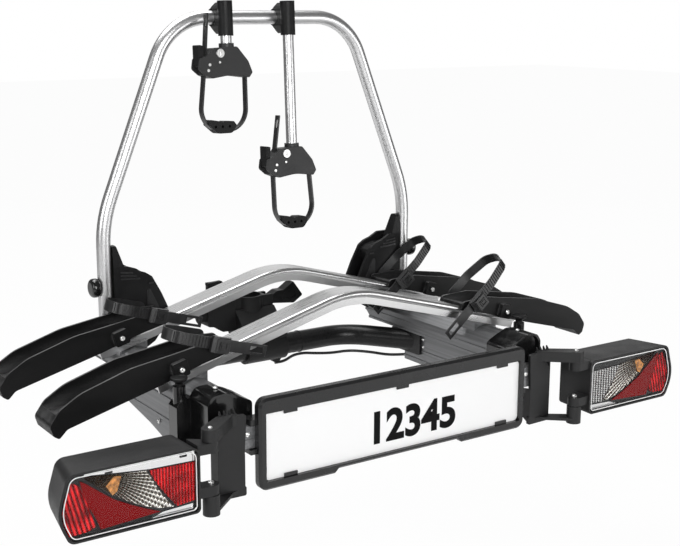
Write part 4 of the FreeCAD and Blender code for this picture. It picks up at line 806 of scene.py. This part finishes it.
def fan_finish(name, side):
    """Ribbed chrome for the reflector of one lamp, with highlights and shade painted on its ribs."""
    centre = spot(*mirrored(side, FAN_CENTRE))
    finish = new_finish(name + "_fan_chrome", (0.62, 0.61, 0.58), 0.16, metallic=0.9)
    ribs = fan_ribs(finish, centre, FAN_RIBS_IN_CIRCLE)
    rings = wave(finish, distance_from(finish, centre), 1000 / FAN_RING_PITCH)
    both = maths(finish, "ADD", ribs, maths(finish, "MULTIPLY", rings, 0.5))
    outwards = remap(finish, distance_from(finish, centre), 0.30, 1.10, 0.030, 0.095)
    # The ribs and rings are painted bright as highlights, and the dark between them is painted shade.
    vary_colour(finish, maths(finish, "MULTIPLY", both, outwards),
                (0.07, 0.055, 0.035), (0.98, 0.96, 0.90), 0.2, 1.3)
    soften(finish, 0.2, both, 1.2)
    return finish


clear_ribs = new_finish("right_clear_ribs", (0.70, 0.70, 0.69), 0.14, metallic=0.8)
uprights = straight_ribs(clear_ribs, 6.5)
levels = straight_ribs(clear_ribs, 4.2, along=(0.25, 1))
grid = maths(clear_ribs, "ADD", uprights, maths(clear_ribs, "MULTIPLY", levels, 0.7))
# The grid is painted bright as highlights on its ribs and dark as shade between them.
vary_colour(clear_ribs, grid, (0.05, 0.05, 0.05), (0.98, 0.98, 0.97), 0.3, 1.4)
soften(clear_ribs, 0.2, grid, 1.2)

# %% [markdown]
# The rim is a thin frame round the cover, painted pale as the highlight that a chrome edge
# catches. It starts as one face with rounded corners, an inset leaves a narrow band round
# it, the middle is deleted and the band gets a thickness.
# Inset Region only takes the edge of a lone face if it is told to use boundaries.

# %% Rim of a lamp
RIM_RADII = (7, 12, 55, 14, 11)
RIM_PROUD = 0.1
RIM_WIDTH = 1.3
RIM_THICKNESS = 0.8


def lamp_rim(name, side):
    """The weld round one lamp's cover, painted pale as its highlight."""
    y = near_face(name + "_lamp_lens") - RIM_PROUD
    rim = bmesh.new()
    middle = fill_ring(rim, rounded_ring([spot(side * x, y, z) for x, z in RIM], RIM_RADII))
    bmesh.ops.inset_region(
        rim, faces=[middle], use_boundary=True, use_even_offset=True, thickness=RIM_WIDTH / 1000)
    bmesh.ops.delete(rim, geom=[middle], context="FACES_ONLY")
    thicken(rim, list(rim.faces), RIM_THICKNESS)
    finish_piece(rim, name + "_lamp_rim", rim_painted_highlight, name + "_lamp")


# %% [markdown]
# Now the layers go in, from the back to the front. The lamps are mirror images, apart from
# the inner block, which is red on the left and clear on the right, and the strip above it,
# which is bright on the left and dark on the right.

# %% Lamp insides
def lamp_layer(name, part, side, outline, y, thickness, finish, corner_radius=0.0):
    """One flat layer inside a lamp, as a piece."""
    builder = bmesh.new()
    add_slab(builder, side, outline, y, thickness, corner_radius)
    finish_piece(builder, name + "_lamp_" + part, finish, name + "_lamp")


MOULDED = 1.5            # thicknesses of the moulded shells, the acrylic blocks and the amber one
BLOCK = 2.0
THIN_BLOCK = 1.2
TRAY_CORNERS = 10
INNER_FINISHES = {"left": (red_lens, chrome), "right": (clear_ribs, lamp_black)}
for name, side in SIDES:
    block_finish, strip_finish = INNER_FINISHES[name]
    lamp_layer(name, "tray", side, BACK_TRAY, TRAY_Y, MOULDED, lamp_black, TRAY_CORNERS)
    lamp_layer(name, "fan", side, FAN, CHROME_Y, MOULDED, fan_finish(name, side))
    lamp_layer(name, "band", side, BAND, BAND_Y, BLOCK, dark_red_lens)
    lamp_layer(name, "outer_block", side, OUTER_BLOCK, BLOCK_Y, BLOCK, streaked_lens)
    lamp_layer(name, "inner_block", side, INNER_BLOCK, BLOCK_Y, BLOCK, block_finish)
    lamp_layer(name, "amber", side, AMBER, AMBER_Y, THIN_BLOCK, amber_lens)
    lamp_layer(name, "top_strip", side, TOP_STRIP, CHROME_Y, MOULDED, strip_finish)
    lamp_layer(name, "foot_strip", side, FOOT_STRIP, CHROME_Y, MOULDED, chrome)
    lamp_rim(name, side)
print("lamp insides made")

# %% [markdown]
# A few shallow details are left. Each foot of the hoop has a raised panel, three louvres and
# a slotted bar, which keep clear of where the wheel straps swing past. Dark clips hold the
# lamps' top strips.

# %% Panels and clips
FOOT_PANEL = [(222, 172), (236, 202), (246, 222), (252, 222), (252, 172)]
PANEL_SUNK = 0.2
PANEL_THICKNESS = 1.0
PANEL_CORNERS = 6
LOUVRES = 3
LOUVRE_Z = 244
LOUVRE_PITCH = 6
LOUVRE_HEIGHT = 3
LOUVRE_THICKNESS = 1.2
LOUVRE_CORNERS = 1
LOUVRE_INNER_X = 264
LOUVRE_SHIFT = 7         # each louvre starts this much further out than the one below
LOUVRE_OUTER_X = 302
SLOT_BAR = (243, 421.6, 232)
SLOT_BAR_SIZE = (10, 1.6, 2.8)
CLIP_XS = (418, 533)
CLIP_Y = -37.8
CLIP_Z = 87
CLIP_SIZE = (11, 1.6, 4.5)

for name, side in SIDES:
    face_y = near_face(name + "_hoop_foot") + PANEL_SUNK
    panels = bmesh.new()
    add_slab(panels, side, FOOT_PANEL, face_y, PANEL_THICKNESS, PANEL_CORNERS)
    for step in range(LOUVRES):
        z = LOUVRE_Z + LOUVRE_PITCH * step
        inner_x = LOUVRE_INNER_X + LOUVRE_SHIFT * step
        louvre = [(inner_x, z - LOUVRE_HEIGHT), (LOUVRE_OUTER_X, z),
                  (LOUVRE_OUTER_X, z + LOUVRE_HEIGHT), (inner_x, z)]
        add_slab(panels, side, louvre, face_y, LOUVRE_THICKNESS, LOUVRE_CORNERS)
    add_bar(panels, spot(*mirrored(side, SLOT_BAR)), SLOT_BAR_SIZE)
    finish_piece(panels, name + "_foot_panel", strap_plastic, "platform")

    clips = bmesh.new()
    for x in CLIP_XS:
        add_bar(clips, spot(side * x, CLIP_Y, CLIP_Z), CLIP_SIZE)
    finish_piece(clips, name + "_lamp_clips", lamp_black, name + "_lamp")

# %% [markdown]
# Two collars keep the tube from sliding in the coupling. They are discs round the tube's
# axis, which is the axis of the tilt joint, so the frame gives their place.

# %% Collars of the tube
COLLAR_XS = (-84, 70)
COLLAR_RADIUS = 20.7
COLLAR_WIDTH = 14
tilt = next(joint for joint in frame["joints"] if joint["name"] == "platform_tilt")
collars = bmesh.new()
for x in COLLAR_XS:
    place = Vector((x / 1000, tilt["pos_m"][1], tilt["pos_m"][2]))
    add_disc(collars, place, (1, 0, 0), COLLAR_RADIUS, COLLAR_WIDTH, segments=48)
finish_piece(collars, "tube_collars", tube_paint, "platform")
print("the tube's axis lies", round(-1000 * tilt["pos_m"][2]), "mm below the ball's middle")

# %% [markdown]
# The plate's digits are plain numbers from Blender's own font, pressed into the sheeting.
# A text object gives them at once. It is made a mesh before it is put in place, and it
# stands 0.4 mm proud of the plate, as pressed characters do.

# %% Digits on the number plate
DIGIT_HEIGHT = 57
DIGITS_X = 27
DIGITS_Z = 45
TEXT_SIZE = 78
STROKE_GROWTH = 2.6      # the font's strokes are thinner than a plate's, so their edges move out
RELIEF = 0.4
digit_paint = new_finish("digit_black", (0.003, 0.003, 0.003), 0.45, shine=0.1)
vary_roughness(digit_paint, pattern(digit_paint, 120, detail=2), 0.40, 0.52)
text = bpy.data.curves.new("digits", "FONT")
text.body = "12345"
text.align_x = "CENTER"
text.size = TEXT_SIZE / 1000
text.offset = STROKE_GROWTH / 1000
text.extrude = RELIEF / 2000
digits_source = bpy.data.objects.new("digits_source", text)
bpy.context.scene.collection.objects.link(digits_source)
bpy.context.view_layer.update()
digit_mesh = bpy.data.meshes.new_from_object(
    digits_source.evaluated_get(bpy.context.evaluated_depsgraph_get()))
bpy.data.objects.remove(digits_source)

# %% [markdown]
# The text lies flat and has the font's own height. Its mesh is centred, scaled to the height
# of the plate's characters, stood up and moved onto the plate.

# %% Digits in their place
lowest = min(vert.co.y for vert in digit_mesh.vertices)
highest = max(vert.co.y for vert in digit_mesh.vertices)
widest = max(vert.co.x for vert in digit_mesh.vertices)
grow = DIGIT_HEIGHT / 1000 / (highest - lowest)
stand_up = Matrix.Rotation(math.radians(90), 4, "X") @ Matrix.Diagonal((grow, grow, 1, 1))
centre_down = Matrix.Translation((0, -(lowest + highest) / 2, 0))
onto_plate = Matrix.Translation(spot(DIGITS_X, -RELIEF / 2, DIGITS_Z))
digit_mesh.transform(onto_plate @ stand_up @ centre_down)
digits = bmesh.new()
digits.from_mesh(digit_mesh)
finish_piece(digits, "plate_digits", digit_paint, "platform")
print("digits are", DIGIT_HEIGHT, "mm high and", round(2000 * widest * grow), "mm wide")

# %% [markdown]
# The light on the carrier comes from five soft boxes, large area lights that all look at its
# middle. The low one stands where the right bracket mirrors it, which gives that side its
# paler faces.

# %% Soft boxes
SOFT_BOXES = (
    ("front_light", (-1.2, -3.4, 1.2), 2.2, 1.6, 74),      # place, width, height and watts
    ("top_light", (-0.2, 0.6, 2.7), 2.6, 2.0, 80),
    ("back_light", (1.9, 3.0, 1.2), 4.4, 1.8, 17),
    ("side_light", (-3.4, -0.6, 1.0), 1.4, 1.6, 22),
    ("low_light", (2.1, -2.3, 0.15), 1.6, 1.0, 15))
CARRIER_MIDDLE = Vector((0, -0.25, 0.2))


def soft_box(name, place, width, height, power):
    """A large area light that looks at the carrier's middle."""
    lamp = bpy.data.lights.new(name, "AREA")
    lamp.shape = "RECTANGLE"
    lamp.size = width
    lamp.size_y = height
    lamp.energy = power
    holder = bpy.data.objects.new(name, lamp)
    aim = (CARRIER_MIDDLE - Vector(place)).to_track_quat("-Z", "Y").to_matrix().to_4x4()
    holder.matrix_world = Matrix.Translation(place) @ aim
    bpy.context.scene.collection.objects.link(holder)


for box in SOFT_BOXES:
    soft_box(*box)
print("lit by", len(SOFT_BOXES), "soft boxes")

# %% [markdown]
# The camera sees the world as plain white, and so do rays that pass through a clear piece.
# For all other rays the world is a faint even light that keeps shadows open.

# %% World
DIM_WORLD = 0.16
world = bpy.data.worlds.new("studio")
world.use_nodes = True
bpy.context.scene.world = world
tree = world.node_tree
background = tree.nodes["Background"]
background.inputs["Color"].default_value = (1, 1, 1, 1)
ray = tree.nodes.new("ShaderNodeLightPath")
seen = tree.nodes.new("ShaderNodeMath")
seen.operation = "MAXIMUM"
tree.links.new(ray.outputs["Is Camera Ray"], seen.inputs[0])
tree.links.new(ray.outputs["Is Transmission Ray"], seen.inputs[1])
level = tree.nodes.new("ShaderNodeMapRange")
level.inputs["To Min"].default_value = DIM_WORLD
level.inputs["To Max"].default_value = 1.0
tree.links.new(seen.outputs[0], level.inputs["Value"])
tree.links.new(level.outputs["Result"], background.inputs["Strength"])

# %% [markdown]
# The floor is a plain pale sheet, far enough below the carrier that its shadow stays soft.
# For the camera nearly all of its colour is a white glow, so that it meets the white world
# without a line, and the rest is lit, which leaves a trace of the shadow.

# %% Floor
FLOOR_DROP = 0.25
FLOOR_REACH = 14
GLOW_SHARE = 0.97
floor_paint = new_finish("pale_floor", (0.75, 0.75, 0.75), 0.9)
tree = floor_paint.node_tree
glow = tree.nodes.new("ShaderNodeEmission")
blend = tree.nodes.new("ShaderNodeMixShader")
ray = tree.nodes.new("ShaderNodeLightPath")
share = maths(floor_paint, "MULTIPLY", ray.outputs["Is Camera Ray"], GLOW_SHARE)
tree.links.new(share, blend.inputs["Fac"])
tree.links.new(shader_of(floor_paint).outputs[0], blend.inputs[1])
tree.links.new(glow.outputs[0], blend.inputs[2])
tree.links.new(blend.outputs[0], tree.nodes["Material Output"].inputs["Surface"])
sheet = bmesh.new()
bmesh.ops.create_grid(sheet, x_segments=1, y_segments=1, size=FLOOR_REACH,
                      matrix=Matrix.Translation((0, 0, cad_box[0].z - FLOOR_DROP)))
floor_mesh = bpy.data.meshes.new("floor")
sheet.to_mesh(floor_mesh)
sheet.free()
floor_mesh.materials.append(floor_paint)
floor = bpy.data.objects.new("floor", floor_mesh)
bpy.context.scene.collection.objects.link(floor)
bpy.context.scene.view_settings.view_transform = "Standard"
print("the floor lies", round(1000 * (FLOOR_DROP - cad_box[0].z)), "mm below the ball's middle")
